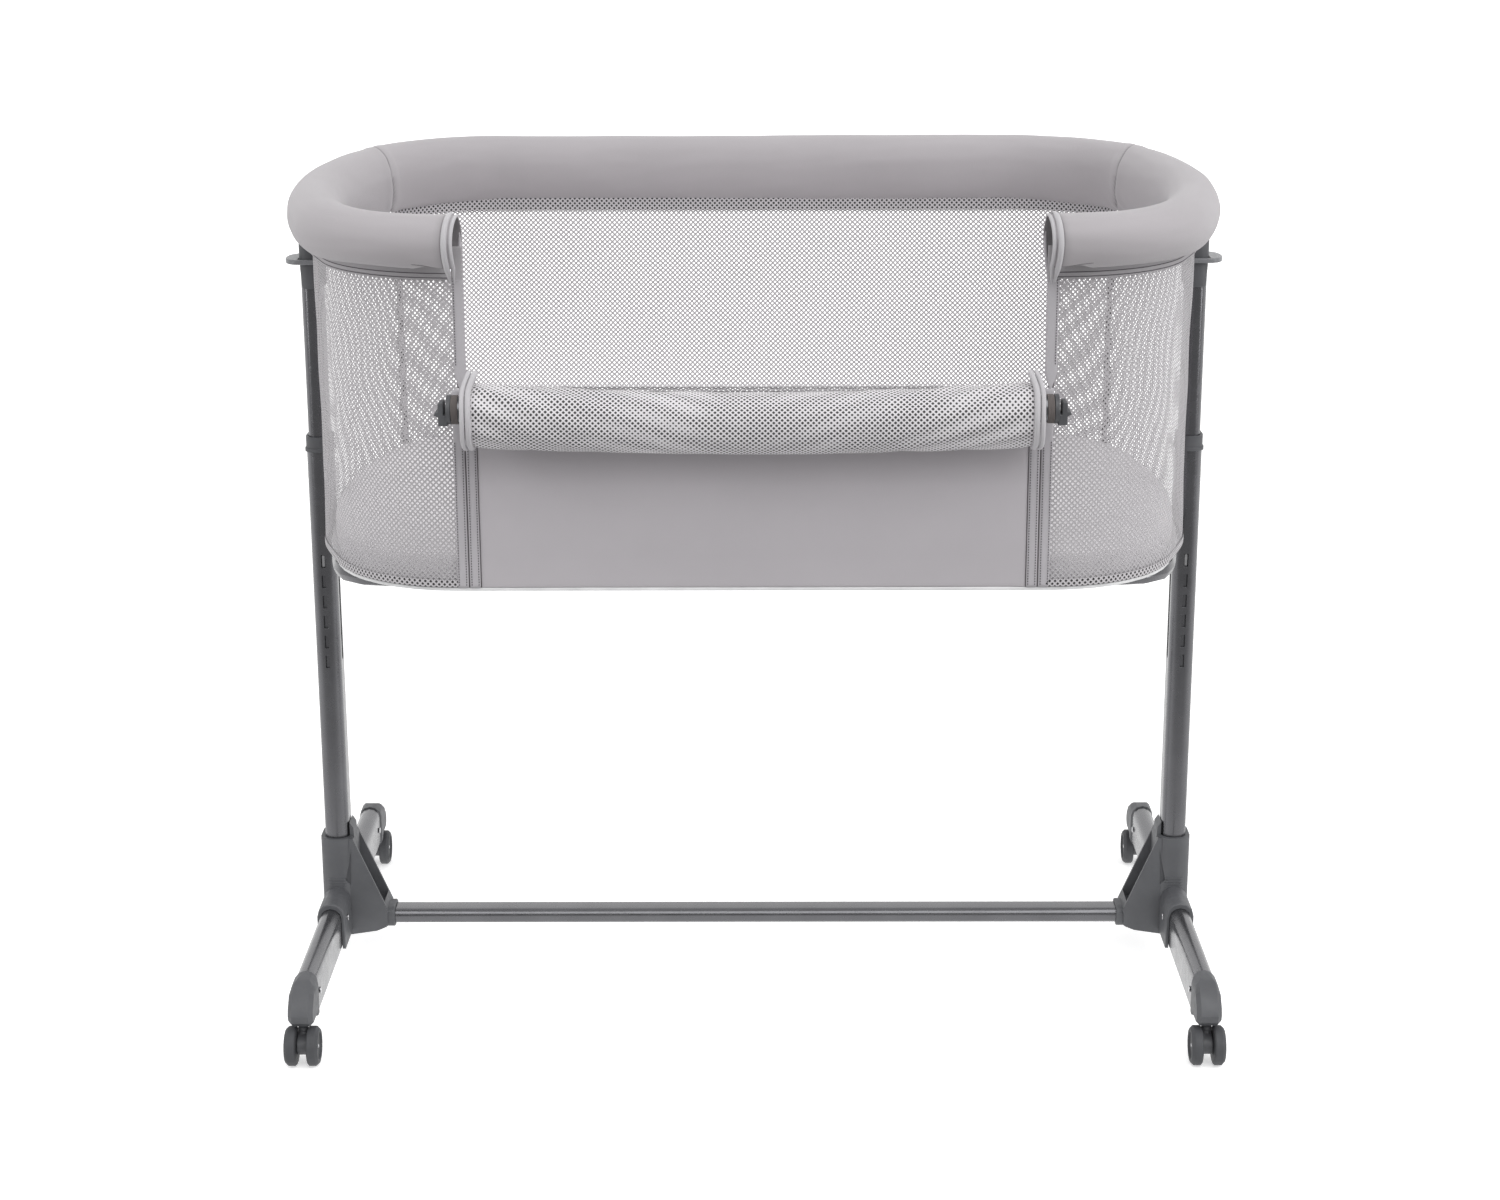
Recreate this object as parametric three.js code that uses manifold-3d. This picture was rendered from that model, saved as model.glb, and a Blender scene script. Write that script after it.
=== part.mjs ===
// Bedside bassinet on a height-adjustable, castored stand, with a drop side.
// Millimetres, +Z up. X runs from post to post and -Y is the drop side.
// The parts are laid out with Y = 0 through the two posts and Z = 0 on the floor. The whole
// model is then moved along Y so that its origin is below the middle of its bounding box.

import * as THREE from 'three';
import { mergeVertices } from 'three/addons/utils/BufferGeometryUtils.js';
import Module from 'manifold-3d';

const wasm = await Module();
wasm.setup();

// ---------------------------------------------------------------- driving dimensions

const GAP = 0.3; // left between pieces that touch
const OVERSHOOT = 5; // how far a cutting solid runs past what it cuts

const POST_X = 450.8; // centre of each post
const LOWER_POST = { width: 26, depth: 38, wall: 1.8, bottom: 86, top: 569 };
const UPPER_POST = { width: 21, depth: 33, wall: 1.5, bottom: 300, top: 797 };
const POST_COLLAR = { width: 29.5, depth: 41.5, top: 585, lip: 3.5, waist: 1.2 };
const HEIGHT_SLOT = { width: 4.2, height: 14, top: 452.3, pitch: 22, count: 6 };
const SIDE_SLOT = { width: 7, bottom: 340, top: 489 };

const FOOT_X = 452; // centre of each foot tube
const FOOT = { width: 22, bottom: 37, top: 83, wall: 1.8, halfLength: 234.7, softEdge: 5 };
const FOOT_CAP = { width: 25, start: 235, end: 286, plug: 20, top: 84.6, coneTop: 42.5 };
const FOOT_SCREW = { y: 224.6, z: 59, head: 3.4, shank: 1.5 };

const CROSS_BAR = { width: 29, height: 16.5, round: 7, wall: 1.5, centre: 50, end: 440.4 };
const BRACKET = { width: 35.3, depth: 47, top: 143.5, peak: 158.9, armX: 397.5, armZ: 58.5 };
const BRACKET_ARM = { halfDepth: 20, wall: 3, floor: 31.5 };
const SADDLE = { halfLength: 72, wall: 3.2, top: 88.8, bottom: 37.5 };
const SOCKET = { inner: 391.7, outer: 399.2, width: 36, bottom: 38.5, top: 61.5 };

const WHEEL = { radius: 20, width: 11.5, gap: 11, sides: 20, bore: 2.15 };
const SWIVEL_Y = 264.5; // castor stem, from the posts
const WHEEL_Y = 272.5; // wheel axle, from the posts
const STEM = { radius: 4, bore: 4.15, top: 53, neck: 5.2, neckTop: 37.7 };
const AXLE_RADIUS = 2;

const RIM = { halfWidth: 437.6, halfDepth: 285, corner: 140, side: 613 };
const RIM_Z = 829;
const RIM_TUBE = { radius: 11, wall: 1.5, startX: 308.6 };
const RIM_PAD = { width: 54, height: 58, startX: 268 };
const RIM_STEPS = 42;
const CLIP_POCKET = { inner: 260, outer: 309.5, y: -286.5, halfDepth: 22.5, rise: 24.5 };

const WALL = { halfWidth: 435.5, halfDepth: 274, corner: 131, side: 611 };
const WALL_THICKNESS = 2;
const WALL_Z = { bottom: 497, top: 799.4 };
const OPENING_X = 281; // half the width of the front opening in the mesh wall
const ZIP_TAPE = { inner: 258.6, upperInner: 266.4, wideTop: 636, back: -272, front: -275.6 };
const FRONT_PANEL_TOP = 658;
const BOARD = { bottom: 493.3, thickness: 3.4 };
const MATTRESS = { top: 528, inset: 5 };
const BASE_TUBE = { radius: 9, wall: 1.4, z: 483.9, startX: 250, steps: 30 };
const BASE_FRAME = { halfWidth: 425.3, halfDepth: 192, corner: 45, side: 750 };
const BASE_BOLT = { z: 480, radius: 3, head: 5.4, inner: 413.4, outer: 445.5 };

const DROP_BAR = { y: -316, z: 679, radius: 12.5, wall: 1.5, halfLength: 276.7 };
const ROLL = { radius: 32, halfLength: 266, droop: 6 }; // hangs below the bar's centre
const CLIP = { start: 277, flange: 281, end: 288.6, tip: 292.4, below: 13.8, above: 7.8, halfDepth: 9 };

const HOUSING = { bottom: 740, shoulder: 797, neckTop: 817.6, innerX: 438, outerX: 461.9 };
const HOUSING_HALF_DEPTH = 20;
const LEVER = { z: 767.4, thickness: 5, pivotX: 447.5, tipX: 476.8, pin: 2, armWidth: 3.4 };
const LOCK_PIN = { width: 3, height: 12.4, length: 11, tip: -16.9 };

const frontReach = DROP_BAR.y - ROLL.radius;
const rearReach = RIM.halfDepth + RIM_PAD.width / 2;
const MODEL_SHIFT_Y = -(frontReach + rearReach) / 2;

// ---------------------------------------------------------------- materials

const metal = new THREE.MeshStandardMaterial({ color: 0x4e4f52, metalness: 0.6, roughness: 0.35 });
const plastic = new THREE.MeshStandardMaterial({ color: 0x535457, metalness: 0, roughness: 0.5 });
const steel = new THREE.MeshStandardMaterial({ color: 0xd5d6d8, metalness: 1, roughness: 0.25 });
const tread = new THREE.MeshStandardMaterial({ color: 0x4b4c4e, metalness: 0, roughness: 0.6 });
const jersey = new THREE.MeshStandardMaterial({ color: 0xaca9ad, metalness: 0, roughness: 0.95 });
const mesh = new THREE.MeshStandardMaterial({ color: 0xc3bfc0, metalness: 0, roughness: 0.9 });
const canvas = new THREE.MeshStandardMaterial({ color: 0xb7b3b6, metalness: 0, roughness: 0.95 });
const webbing = new THREE.MeshStandardMaterial({ color: 0xa39fa2, metalness: 0, roughness: 0.9 });
const board = new THREE.MeshStandardMaterial({ color: 0xefefee, metalness: 0, roughness: 0.6 });
const cotton = new THREE.MeshStandardMaterial({ color: 0xf2f1ef, metalness: 0, roughness: 1 });

// ---------------------------------------------------------------- solids and booleans

function toSolid(geometry) {
  const bare = geometry.clone();
  bare.deleteAttribute('normal');
  bare.deleteAttribute('uv');
  const merged = mergeVertices(bare, 1e-3);
  return new wasm.Manifold(new wasm.Mesh({
    numProp: 3,
    vertProperties: Float32Array.from(merged.attributes.position.array),
    triVerts: Uint32Array.from(merged.index.array),
  }));
}

function toGeometry(solid) {
  const { vertProperties, triVerts } = solid.getMesh();
  const geometry = new THREE.BufferGeometry();
  geometry.setAttribute('position', new THREE.BufferAttribute(vertProperties, 3));
  geometry.setIndex(new THREE.BufferAttribute(triVerts, 1));
  return geometry;
}

function join(first, ...others) {
  const solid = others.reduce((sum, geometry) => sum.add(toSolid(geometry)), toSolid(first));
  return toGeometry(solid);
}

function cut(geometry, ...tools) {
  const solid = tools.reduce((rest, tool) => rest.subtract(toSolid(tool)), toSolid(geometry));
  return toGeometry(solid);
}

function common(first, second) {
  return toGeometry(toSolid(first).intersect(toSolid(second)));
}

// A mirror image across the plane where the given axis ('x' or 'y') is zero.
function mirrored(geometry, axis) {
  const copy = toGeometry(toSolid(geometry));
  copy.scale(axis === 'x' ? -1 : 1, axis === 'y' ? -1 : 1, 1);
  const index = copy.index.array;
  for (let i = 0; i < index.length; i += 3) {
    [index[i + 1], index[i + 2]] = [index[i + 2], index[i + 1]];
  }
  return copy;
}

// ---------------------------------------------------------------- shapes

function roundedRect(width, height, radius) {
  const x = width / 2 - radius;
  const y = height / 2 - radius;
  const shape = new THREE.Shape();
  shape.absarc(x, y, radius, 0, Math.PI / 2);
  shape.absarc(-x, y, radius, Math.PI / 2, Math.PI);
  shape.absarc(-x, -y, radius, Math.PI, 1.5 * Math.PI);
  shape.absarc(x, -y, radius, 1.5 * Math.PI, 2 * Math.PI);
  return shape;
}

function polygon(points) {
  return new THREE.Shape(points.map(([x, y]) => new THREE.Vector2(x, y)));
}

function circle(radius) {
  const shape = new THREE.Shape();
  shape.absarc(0, 0, radius, 0, 2 * Math.PI);
  return shape;
}

// The section of a foot tube or of its cap, in X and Z: round on top, soft below.
function footSection(inset, extra = 0) {
  const halfWidth = FOOT.width / 2 - inset + extra;
  const topArc = FOOT.top - FOOT.width / 2;
  const low = FOOT.bottom + inset - extra;
  const soft = FOOT.softEdge - inset + extra;
  const shape = new THREE.Shape();
  shape.absarc(0, topArc, halfWidth, 0, Math.PI);
  shape.absarc(-halfWidth + soft, low + soft, soft, Math.PI, 1.5 * Math.PI);
  shape.absarc(halfWidth - soft, low + soft, soft, 1.5 * Math.PI, 2 * Math.PI);
  return shape;
}

// ---------------------------------------------------------------- prisms and rods

function extrude(shape, depth, { bevel = 0, segments = 3 } = {}) {
  const geometry = new THREE.ExtrudeGeometry(shape, {
    depth: depth - 2 * bevel,
    curveSegments: segments,
    bevelEnabled: bevel > 0,
    bevelThickness: bevel,
    bevelSize: bevel,
    bevelOffset: -bevel,
    bevelSegments: 1,
  });
  return geometry.translate(0, 0, bevel);
}

// Prisms along X (shape in Y, Z), along Y (shape in X, Z) and along Z (shape in X, Y).
function prismX(shape, from, to, options) {
  const basis = new THREE.Matrix4().makeBasis(
    new THREE.Vector3(0, 1, 0),
    new THREE.Vector3(0, 0, 1),
    new THREE.Vector3(1, 0, 0),
  );
  return extrude(shape, to - from, options).applyMatrix4(basis).translate(from, 0, 0);
}

function prismY(shape, from, to, options) {
  const basis = new THREE.Matrix4().makeBasis(
    new THREE.Vector3(1, 0, 0),
    new THREE.Vector3(0, 0, 1),
    new THREE.Vector3(0, -1, 0),
  );
  return extrude(shape, to - from, options).applyMatrix4(basis).translate(0, to, 0);
}

function prismZ(shape, from, to, options) {
  return extrude(shape, to - from, options).translate(0, 0, from);
}

function box([x0, x1], [y0, y1], [z0, z1]) {
  return new THREE.BoxGeometry(x1 - x0, y1 - y0, z1 - z0)
    .translate((x0 + x1) / 2, (y0 + y1) / 2, (z0 + z1) / 2);
}

function rodX(radius, from, to, y, z, sides = 12) {
  return new THREE.CylinderGeometry(radius, radius, to - from, sides)
    .rotateZ(Math.PI / 2)
    .translate((from + to) / 2, y, z);
}

function rodY(radius, from, to, x, z, sides = 12) {
  return new THREE.CylinderGeometry(radius, radius, to - from, sides)
    .translate(x, (from + to) / 2, z);
}

// A solid of revolution about the Z axis from [radius, z] points that start and end on it.
function turned(points, sides = 16) {
  const profile = points.map(([radius, z]) => new THREE.Vector2(radius, z));
  return new THREE.LatheGeometry(profile, sides).rotateX(Math.PI / 2);
}

// ---------------------------------------------------------------- plan outlines

// The bassinet's plan has straight long sides, round corners and gently bowed ends.
function shrink(plan, inset) {
  return {
    halfWidth: plan.halfWidth - inset,
    halfDepth: plan.halfDepth - inset,
    corner: plan.corner - inset,
    side: plan.side - inset,
  };
}

// Traces the outline anticlockwise from the front at x = startX round the right end, and
// then round the left end too when `whole` is true.
function planPath({ halfWidth, halfDepth, corner, side }, startX, whole = true) {
  const cornerY = halfDepth - corner;
  const sideX = halfWidth - side;
  const cornerX = sideX + Math.sqrt((side - corner) ** 2 - cornerY ** 2);
  const blend = Math.atan2(cornerY, cornerX - sideX);
  const skipped = startX > cornerX ? Math.asin((startX - cornerX) / corner) : 0;
  const quarter = Math.PI / 2;
  const path = new THREE.Path();
  if (startX < cornerX) path.moveTo(startX, -halfDepth);
  if (startX < cornerX) path.lineTo(cornerX, -halfDepth);
  path.absarc(cornerX, -cornerY, corner, skipped - quarter, -blend);
  path.absarc(sideX, 0, side, -blend, blend);
  path.absarc(cornerX, cornerY, corner, blend, quarter - (whole ? 0 : skipped));
  if (whole) {
    path.absarc(-cornerX, cornerY, corner, quarter, 2 * quarter - blend);
    path.absarc(-sideX, 0, side, 2 * quarter - blend, 2 * quarter + blend);
    path.absarc(-cornerX, -cornerY, corner, 2 * quarter + blend, 3 * quarter - skipped);
  }
  if (startX < cornerX) path.lineTo(whole ? -startX : startX, (whole ? -1 : 1) * halfDepth);
  return path;
}

function planPoints(plan, startX, segments) {
  const points = planPath(plan, startX).getPoints(segments);
  return points.filter((point, i) => i === 0 || point.distanceTo(points[i - 1]) > 0.01);
}

function slab(plan, from, to, segments = 4) {
  return prismZ(new THREE.Shape(planPoints(plan, 0, segments).slice(1)), from, to);
}

// A plan path lifted to one height, for extruding a section along it.
class LevelCurve extends THREE.Curve {
  constructor(path, z) {
    super();
    this.path = path;
    this.z = z;
  }

  getPoint(t, target = new THREE.Vector3()) {
    const { x, y } = this.path.getPoint(t);
    return target.set(x, y, this.z);
  }
}

function sweep(shape, path, z, steps, segments) {
  const extrudePath = new LevelCurve(path, z);
  return new THREE.ExtrudeGeometry(shape, { extrudePath, steps, curveSegments: segments });
}

function tubeSection(radius, wall) {
  const shape = circle(radius);
  shape.holes.push(circle(radius - wall));
  return shape;
}

// ---------------------------------------------------------------- scene graph

const model = new THREE.Group();
model.position.y = MODEL_SHIFT_Y;

function add(name, geometry, material) {
  const node = new THREE.Mesh(geometry, material);
  node.name = name;
  model.add(node);
}

// Adds a piece drawn on the right (+X) side and its mirror image on the left.
function addPair(name, geometry, material) {
  add(`right_${name}`, geometry, material);
  add(`left_${name}`, mirrored(geometry, 'x'), material);
}

// Adds a piece drawn on the right at the rear (+Y), and its three mirror images.
function addFour(name, geometry, material) {
  addPair(`rear_${name}`, geometry, material);
  addPair(`front_${name}`, mirrored(geometry, 'y'), material);
}

// ---------------------------------------------------------------- stand

function postTube({ width, depth, wall, bottom, top }) {
  const shape = roundedRect(width, depth, width * 0.44);
  shape.holes.push(roundedRect(width - 2 * wall, depth - 2 * wall, width * 0.44 - wall));
  return prismZ(shape, bottom, top).translate(POST_X, 0, 0);
}

function lowerPost() {
  const front = -LOWER_POST.depth / 2;
  const half = HEIGHT_SLOT.width / 2;
  const slots = Array.from({ length: HEIGHT_SLOT.count }, (_, i) => {
    const z = HEIGHT_SLOT.top - i * HEIGHT_SLOT.pitch;
    const span = [z - HEIGHT_SLOT.height / 2, z + HEIGHT_SLOT.height / 2];
    return box([POST_X - half, POST_X + half], [front - OVERSHOOT, front + OVERSHOOT], span);
  });
  const inner = POST_X - LOWER_POST.width / 2;
  const sideSlot = prismX(
    roundedRect(SIDE_SLOT.width, SIDE_SLOT.top - SIDE_SLOT.bottom, SIDE_SLOT.width / 2 - 0.01),
    inner - OVERSHOOT,
    inner + OVERSHOOT,
  ).translate(0, 0, (SIDE_SLOT.top + SIDE_SLOT.bottom) / 2);
  return cut(postTube(LOWER_POST), sideSlot, ...slots);
}

function postCollar() {
  const { width, depth, top, lip, waist } = POST_COLLAR;
  const bottom = LOWER_POST.top + GAP;
  const ring = (inset, from, to) => prismZ(
    roundedRect(width - 2 * inset, depth - 2 * inset, width * 0.44 - inset),
    from,
    to,
    { segments: 2 },
  );
  const body = join(ring(0, bottom, bottom + lip), ring(waist, bottom, top));
  const hole = roundedRect(UPPER_POST.width + 1, UPPER_POST.depth + 1, UPPER_POST.width * 0.44 + 0.5);
  const cutter = prismZ(hole, bottom - OVERSHOOT, top + OVERSHOOT, { segments: 2 });
  return cut(body, cutter).translate(POST_X, 0, 0);
}

function footTube() {
  const shape = footSection(0);
  shape.holes.push(footSection(FOOT.wall));
  const tube = prismY(shape, -FOOT.halfLength, FOOT.halfLength).translate(FOOT_X, 0, 0);
  const inner = FOOT_X - FOOT.width / 2;
  const holes = [-1, 1].map((end) => rodX(
    FOOT_SCREW.shank + GAP,
    inner - OVERSHOOT,
    inner + OVERSHOOT,
    end * FOOT_SCREW.y,
    FOOT_SCREW.z,
  ));
  const saddleHole = rodX(FOOT_SCREW.shank + GAP, inner - OVERSHOOT, inner + OVERSHOOT, -52, 66);
  return cut(tube, ...holes, saddleHole);
}

// The cap turns the foot tube's end down into the castor's socket.
function footCap() {
  const { width, start, end, plug, top, coneTop } = FOOT_CAP;
  const side = new THREE.Shape();
  side.moveTo(start, FOOT.bottom - 1.5);
  side.lineTo(start, top);
  side.quadraticCurveTo(266, top, end - 5, 64);
  side.quadraticCurveTo(end + 3, 50, end - 10, coneTop);
  side.lineTo(252, coneTop);
  side.lineTo(244, FOOT.bottom - 1.5);
  const front = footSection(0, (width - FOOT.width) / 2);
  const elbow = common(
    prismX(side, -width / 2, width / 2, { bevel: 4, segments: 3 }),
    prismY(front, start, end + OVERSHOOT),
  );
  const wheelRoom = prismX(
    polygon([[236.5, 25], [236.5, 35.5], [248, 42.5], [253, 42.5], [253, 25]]), -width, width,
  );
  const cone = turned([[0, 38], [5.1, 38], [8.6, coneTop], [10, 56], [0, 56]])
    .translate(0, SWIVEL_Y, 0);
  const insert = prismY(footSection(FOOT.wall + GAP), start - plug, start + OVERSHOOT);
  const socket = turned([[0, 0], [STEM.bore, 0], [STEM.bore, STEM.top + 1], [0, STEM.top + 1]], 12)
    .translate(0, SWIVEL_Y, 0);
  const screwHole = rodX(FOOT_SCREW.shank + GAP, -width, 0, FOOT_SCREW.y, FOOT_SCREW.z);
  return cut(join(cut(elbow, wheelRoom), cone, insert), socket, screwHole).translate(FOOT_X, 0, 0);
}

// A pan-head screw driven along +X through a foot tube's inner wall; `face` is where it sits.
function screw(face, y, z) {
  const head = rodX(FOOT_SCREW.head, face - GAP - 1.6, face - GAP, y, z);
  const shank = rodX(FOOT_SCREW.shank, face - GAP - 1, face + 7, y, z, 12);
  return join(head, shank);
}

function crossBar() {
  const { width, height, round, wall, centre, end } = CROSS_BAR;
  const shape = roundedRect(width, height, round);
  shape.holes.push(roundedRect(width - 2 * wall, height - 2 * wall, round - wall));
  return prismX(shape, -end, end, { segments: 2 }).translate(0, 0, centre);
}

// The moulded bracket that holds a post, a foot tube and the cross bar together.
function footBracket() {
  const { width, depth, top, peak, armX, armZ } = BRACKET;
  const { halfDepth, wall, floor } = BRACKET_ARM;
  const sleeveInner = POST_X - width / 2;

  const sleeve = prismZ(roundedRect(width, depth, 14), SADDLE.bottom, top)
    .translate(POST_X, 0, 0);
  const ridges = [0, 1, 2, 3].map((i) => prismZ(
    roundedRect(width - 12, depth + 1, 6),
    97 - 3.2 * i,
    98.5 - 3.2 * i,
  ).translate(POST_X, 0, 0));

  const halfSaddle = FOOT.width / 2 + GAP + SADDLE.wall;
  const arch = new THREE.Shape();
  arch.absarc(0, SADDLE.top - halfSaddle, halfSaddle, 0, Math.PI);
  arch.lineTo(-halfSaddle, SADDLE.bottom);
  arch.lineTo(halfSaddle, SADDLE.bottom);
  const saddle = prismY(arch, -SADDLE.halfLength, SADDLE.halfLength, { bevel: 1 })
    .translate(FOOT_X, 0, 0);

  const arm = prismY(polygon([
    [sleeveInner + 4, top - 1], [sleeveInner, top - 1], [armX, armZ], [SOCKET.outer, 56],
    [SOCKET.outer, 42], [401.5, 40.5], [411, 36.5], [FOOT_X - 8, floor], [FOOT_X - 8, 90],
    [sleeveInner + 6, 90],
  ]), -halfDepth, halfDepth);
  const tongue = prismY(polygon([
    [sleeveInner + 4, peak], [sleeveInner, peak - 6], [sleeveInner - 2, 120],
    [sleeveInner + 4, 120],
  ]), -12, 12);
  const socket = prismX(
    roundedRect(SOCKET.width, SOCKET.top - SOCKET.bottom, 9),
    SOCKET.inner,
    SOCKET.outer + 3,
    { bevel: 1 },
  ).translate(0, 0, (SOCKET.top + SOCKET.bottom) / 2);

  const channel = prismY(
    polygon([[402, 62], [sleeveInner - 2, 62], [sleeveInner - 2, 170], [402, 170]]),
    wall - halfDepth,
    halfDepth - wall,
  );
  const sidePockets = [-1, 1].map((side) => prismY(
    polygon([[sleeveInner + 2, 130], [sleeveInner + 9, 96], [sleeveInner + 4, 90]]),
    halfDepth - 1,
    halfDepth + 10,
  ).translate(0, side < 0 ? -(2 * halfDepth + 9) : 0, 0));
  const postHole = prismZ(
    roundedRect(
      LOWER_POST.width + 2 * GAP,
      LOWER_POST.depth + 2 * GAP,
      LOWER_POST.width * 0.44 + GAP,
    ),
    LOWER_POST.bottom - GAP,
    peak + OVERSHOOT,
  ).translate(POST_X, 0, 0);
  const tubeHole = prismY(footSection(0, GAP), -100, 100).translate(FOOT_X, 0, 0);
  const below = box(
    [FOOT_X - FOOT.width / 2 - GAP, FOOT_X + FOOT.width / 2 + GAP],
    [-100, 100],
    [0, FOOT.bottom + 8],
  );
  const barHole = prismX(
    roundedRect(
      CROSS_BAR.width + 2 * GAP,
      CROSS_BAR.height + 2 * GAP,
      CROSS_BAR.round + GAP,
    ),
    SOCKET.inner - OVERSHOOT,
    FOOT_X,
  ).translate(0, 0, CROSS_BAR.centre);
  const screwHole = rodX(FOOT_SCREW.shank + GAP, FOOT_X - 20, FOOT_X, -52, 66);
  return cut(
    join(sleeve, saddle, arm, tongue, socket, ...ridges),
    channel,
    ...sidePockets,
    postHole,
    tubeHole,
    below,
    barHole,
    screwHole,
  );
}

function buildStand() {
  add('cross_bar', crossBar(), metal);
  addPair('foot_bracket', footBracket(), plastic);
  addPair('foot_tube', footTube(), metal);
  addPair('lower_post', lowerPost(), metal);
  addPair('post_collar', postCollar(), plastic);
  addFour('foot_cap', footCap(), plastic);
  addFour('cap_screw', screw(FOOT_X - FOOT.width / 2, FOOT_SCREW.y, FOOT_SCREW.z), steel);
  const saddleFace = FOOT_X - FOOT.width / 2 - GAP - SADDLE.wall;
  addPair('bracket_screw', screw(saddleFace, -52, 66), steel);
}

// ---------------------------------------------------------------- castors

const axleHeight = WHEEL.radius * Math.cos(Math.PI / WHEEL.sides);

// Twin-wheel castor body: stem, ridged neck and the plate that stands between the wheels.
function castorFork() {
  const half = WHEEL.gap / 2 - GAP;
  const { radius, top, neck, neckTop } = STEM;
  const stem = turned([
    [0, 26], [neck, 26], [neck, 29], [neck - 0.8, 30], [neck, 31], [neck - 0.8, 33],
    [neck, 34], [neck, neckTop], [radius, neckTop], [radius, top], [0, top],
  ], 12).translate(0, SWIVEL_Y, 0);
  const plate = new THREE.Shape();
  plate.absarc(WHEEL_Y - 1, axleHeight, 9.5, -1.9, 1.3);
  plate.lineTo(SWIVEL_Y + 1, 32);
  plate.lineTo(SWIVEL_Y - 5.5, 30);
  plate.quadraticCurveTo(SWIVEL_Y - 6, 16, WHEEL_Y - 5, 10.6);
  const body = prismX(plate, -half, half, { bevel: 0.8 });
  const bore = rodX(AXLE_RADIUS + 0.15, -half - 1, half + 1, WHEEL_Y, axleHeight);
  return cut(join(stem, body), bore).translate(FOOT_X, 0, 0);
}

function castorAxle() {
  const reach = WHEEL.gap / 2 + WHEEL.width - 1.2;
  return rodX(AXLE_RADIUS, -reach, reach, WHEEL_Y, axleHeight, 24).translate(FOOT_X, 0, 0);
}

// A wheel with a rounded tread, a recessed outer face and a hub, turned about X.
function castorWheel(side) {
  const { radius, width, gap, sides, bore } = WHEEL;
  const profile = [
    [bore, 0], [radius - 1.6, 0], [radius, 1.4], [radius, width - 3], [radius - 3, width],
    [radius - 6, width], [radius - 7, width - 2.2], [bore, width - 2.2], [bore, 0],
  ].map(([r, x]) => new THREE.Vector2(r, x));
  const disc = new THREE.LatheGeometry(profile, sides)
    .rotateY(Math.PI / sides)
    .rotateZ(side > 0 ? -Math.PI / 2 : Math.PI / 2);
  return disc.translate(FOOT_X + side * gap / 2, WHEEL_Y, axleHeight);
}

function buildCastors() {
  addFour('castor_fork', castorFork(), plastic);
  addFour('castor_axle', castorAxle(), steel);
  addFour('castor_wheel_outer', castorWheel(1), tread);
  addFour('castor_wheel_inner', castorWheel(-1), tread);
}

// ---------------------------------------------------------------- height adjustment

function upperPost() {
  const front = -UPPER_POST.depth / 2;
  const half = LOCK_PIN.width / 2 + GAP;
  const halfHeight = LOCK_PIN.height / 2 + GAP;
  const pinHole = box(
    [POST_X - half, POST_X + half],
    [front - OVERSHOOT, front + OVERSHOOT],
    [HEIGHT_SLOT.top - halfHeight, HEIGHT_SLOT.top + halfHeight],
  );
  const inner = POST_X - UPPER_POST.width / 2;
  const boltHole = rodX(BASE_BOLT.radius + GAP, inner - OVERSHOOT, inner + 3, 0, BASE_BOLT.z);
  return cut(postTube(UPPER_POST), pinHole, boltHole);
}

// The steel tongue that drops into one of the lower post's slots.
function lockPin() {
  const { width, height, length, tip } = LOCK_PIN;
  return prismY(roundedRect(width, height, 1), tip, tip + length, { segments: 1 })
    .translate(POST_X, 0, HEIGHT_SLOT.top);
}

// The moulding at the head of each upper post, with a neck that cradles the rim's tube.
function postHousing() {
  const { bottom, shoulder, neckTop, innerX, outerX } = HOUSING;
  const width = outerX - innerX;
  const centre = (outerX + innerX) / 2;
  const side = polygon([
    [innerX, bottom + 2], [innerX + 1, bottom], [outerX - 4, bottom], [outerX - 2.5, bottom + 3],
    [outerX, shoulder - 20], [outerX, shoulder], [innerX, shoulder],
  ]);
  const depth = 2 * HOUSING_HALF_DEPTH;
  const body = common(
    prismY(side, -HOUSING_HALF_DEPTH, HOUSING_HALF_DEPTH),
    prismZ(roundedRect(width, depth, 10.5), bottom, shoulder).translate(centre, 0, 0),
  );
  const neck = box([innerX + 2, outerX - 3], [-14, 14], [shoulder - 5, neckTop]);
  const postHole = prismZ(
    roundedRect(
      UPPER_POST.width + 2 * GAP,
      UPPER_POST.depth + 2 * GAP,
      UPPER_POST.width * 0.44 + GAP,
    ),
    bottom - OVERSHOOT,
    UPPER_POST.top + GAP,
  ).translate(POST_X, 0, 0);
  const pivot = rodY(LEVER.pin + 0.1, -40, 40, LEVER.pivotX, LEVER.z);
  return cut(join(body, neck), postHole, pivot);
}

// A D-shaped thumb plate that wraps the housing and rocks on two short pins.
function heightLever() {
  const { z, thickness, pivotX, tipX, pin, armWidth } = LEVER;
  const clear = 0.7;
  const halfDepth = HOUSING_HALF_DEPTH + clear + armWidth;
  const outline = new THREE.Shape();
  outline.moveTo(pivotX - 4, -halfDepth);
  outline.lineTo(HOUSING.outerX - 4, -halfDepth);
  outline.bezierCurveTo(tipX - 3, -halfDepth, tipX, -12, tipX, 0);
  outline.bezierCurveTo(tipX, 12, tipX - 3, halfDepth, HOUSING.outerX - 4, halfDepth);
  outline.lineTo(pivotX - 4, halfDepth);
  const plate = prismZ(outline, z - thickness / 2, z + thickness / 2, { bevel: 0.8, segments: 6 });
  const housingHole = box(
    [pivotX - 20, HOUSING.outerX + clear],
    [-HOUSING_HALF_DEPTH - clear, HOUSING_HALF_DEPTH + clear],
    [z - thickness, z + thickness],
  );
  const pins = [-1, 1].map((side) => {
    const from = side * (UPPER_POST.depth / 2 + GAP + 0.4);
    const to = side * (HOUSING_HALF_DEPTH + clear + 1);
    return rodY(pin, Math.min(from, to), Math.max(from, to), pivotX, z);
  });
  return join(cut(plate, housingHole), ...pins);
}

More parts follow.
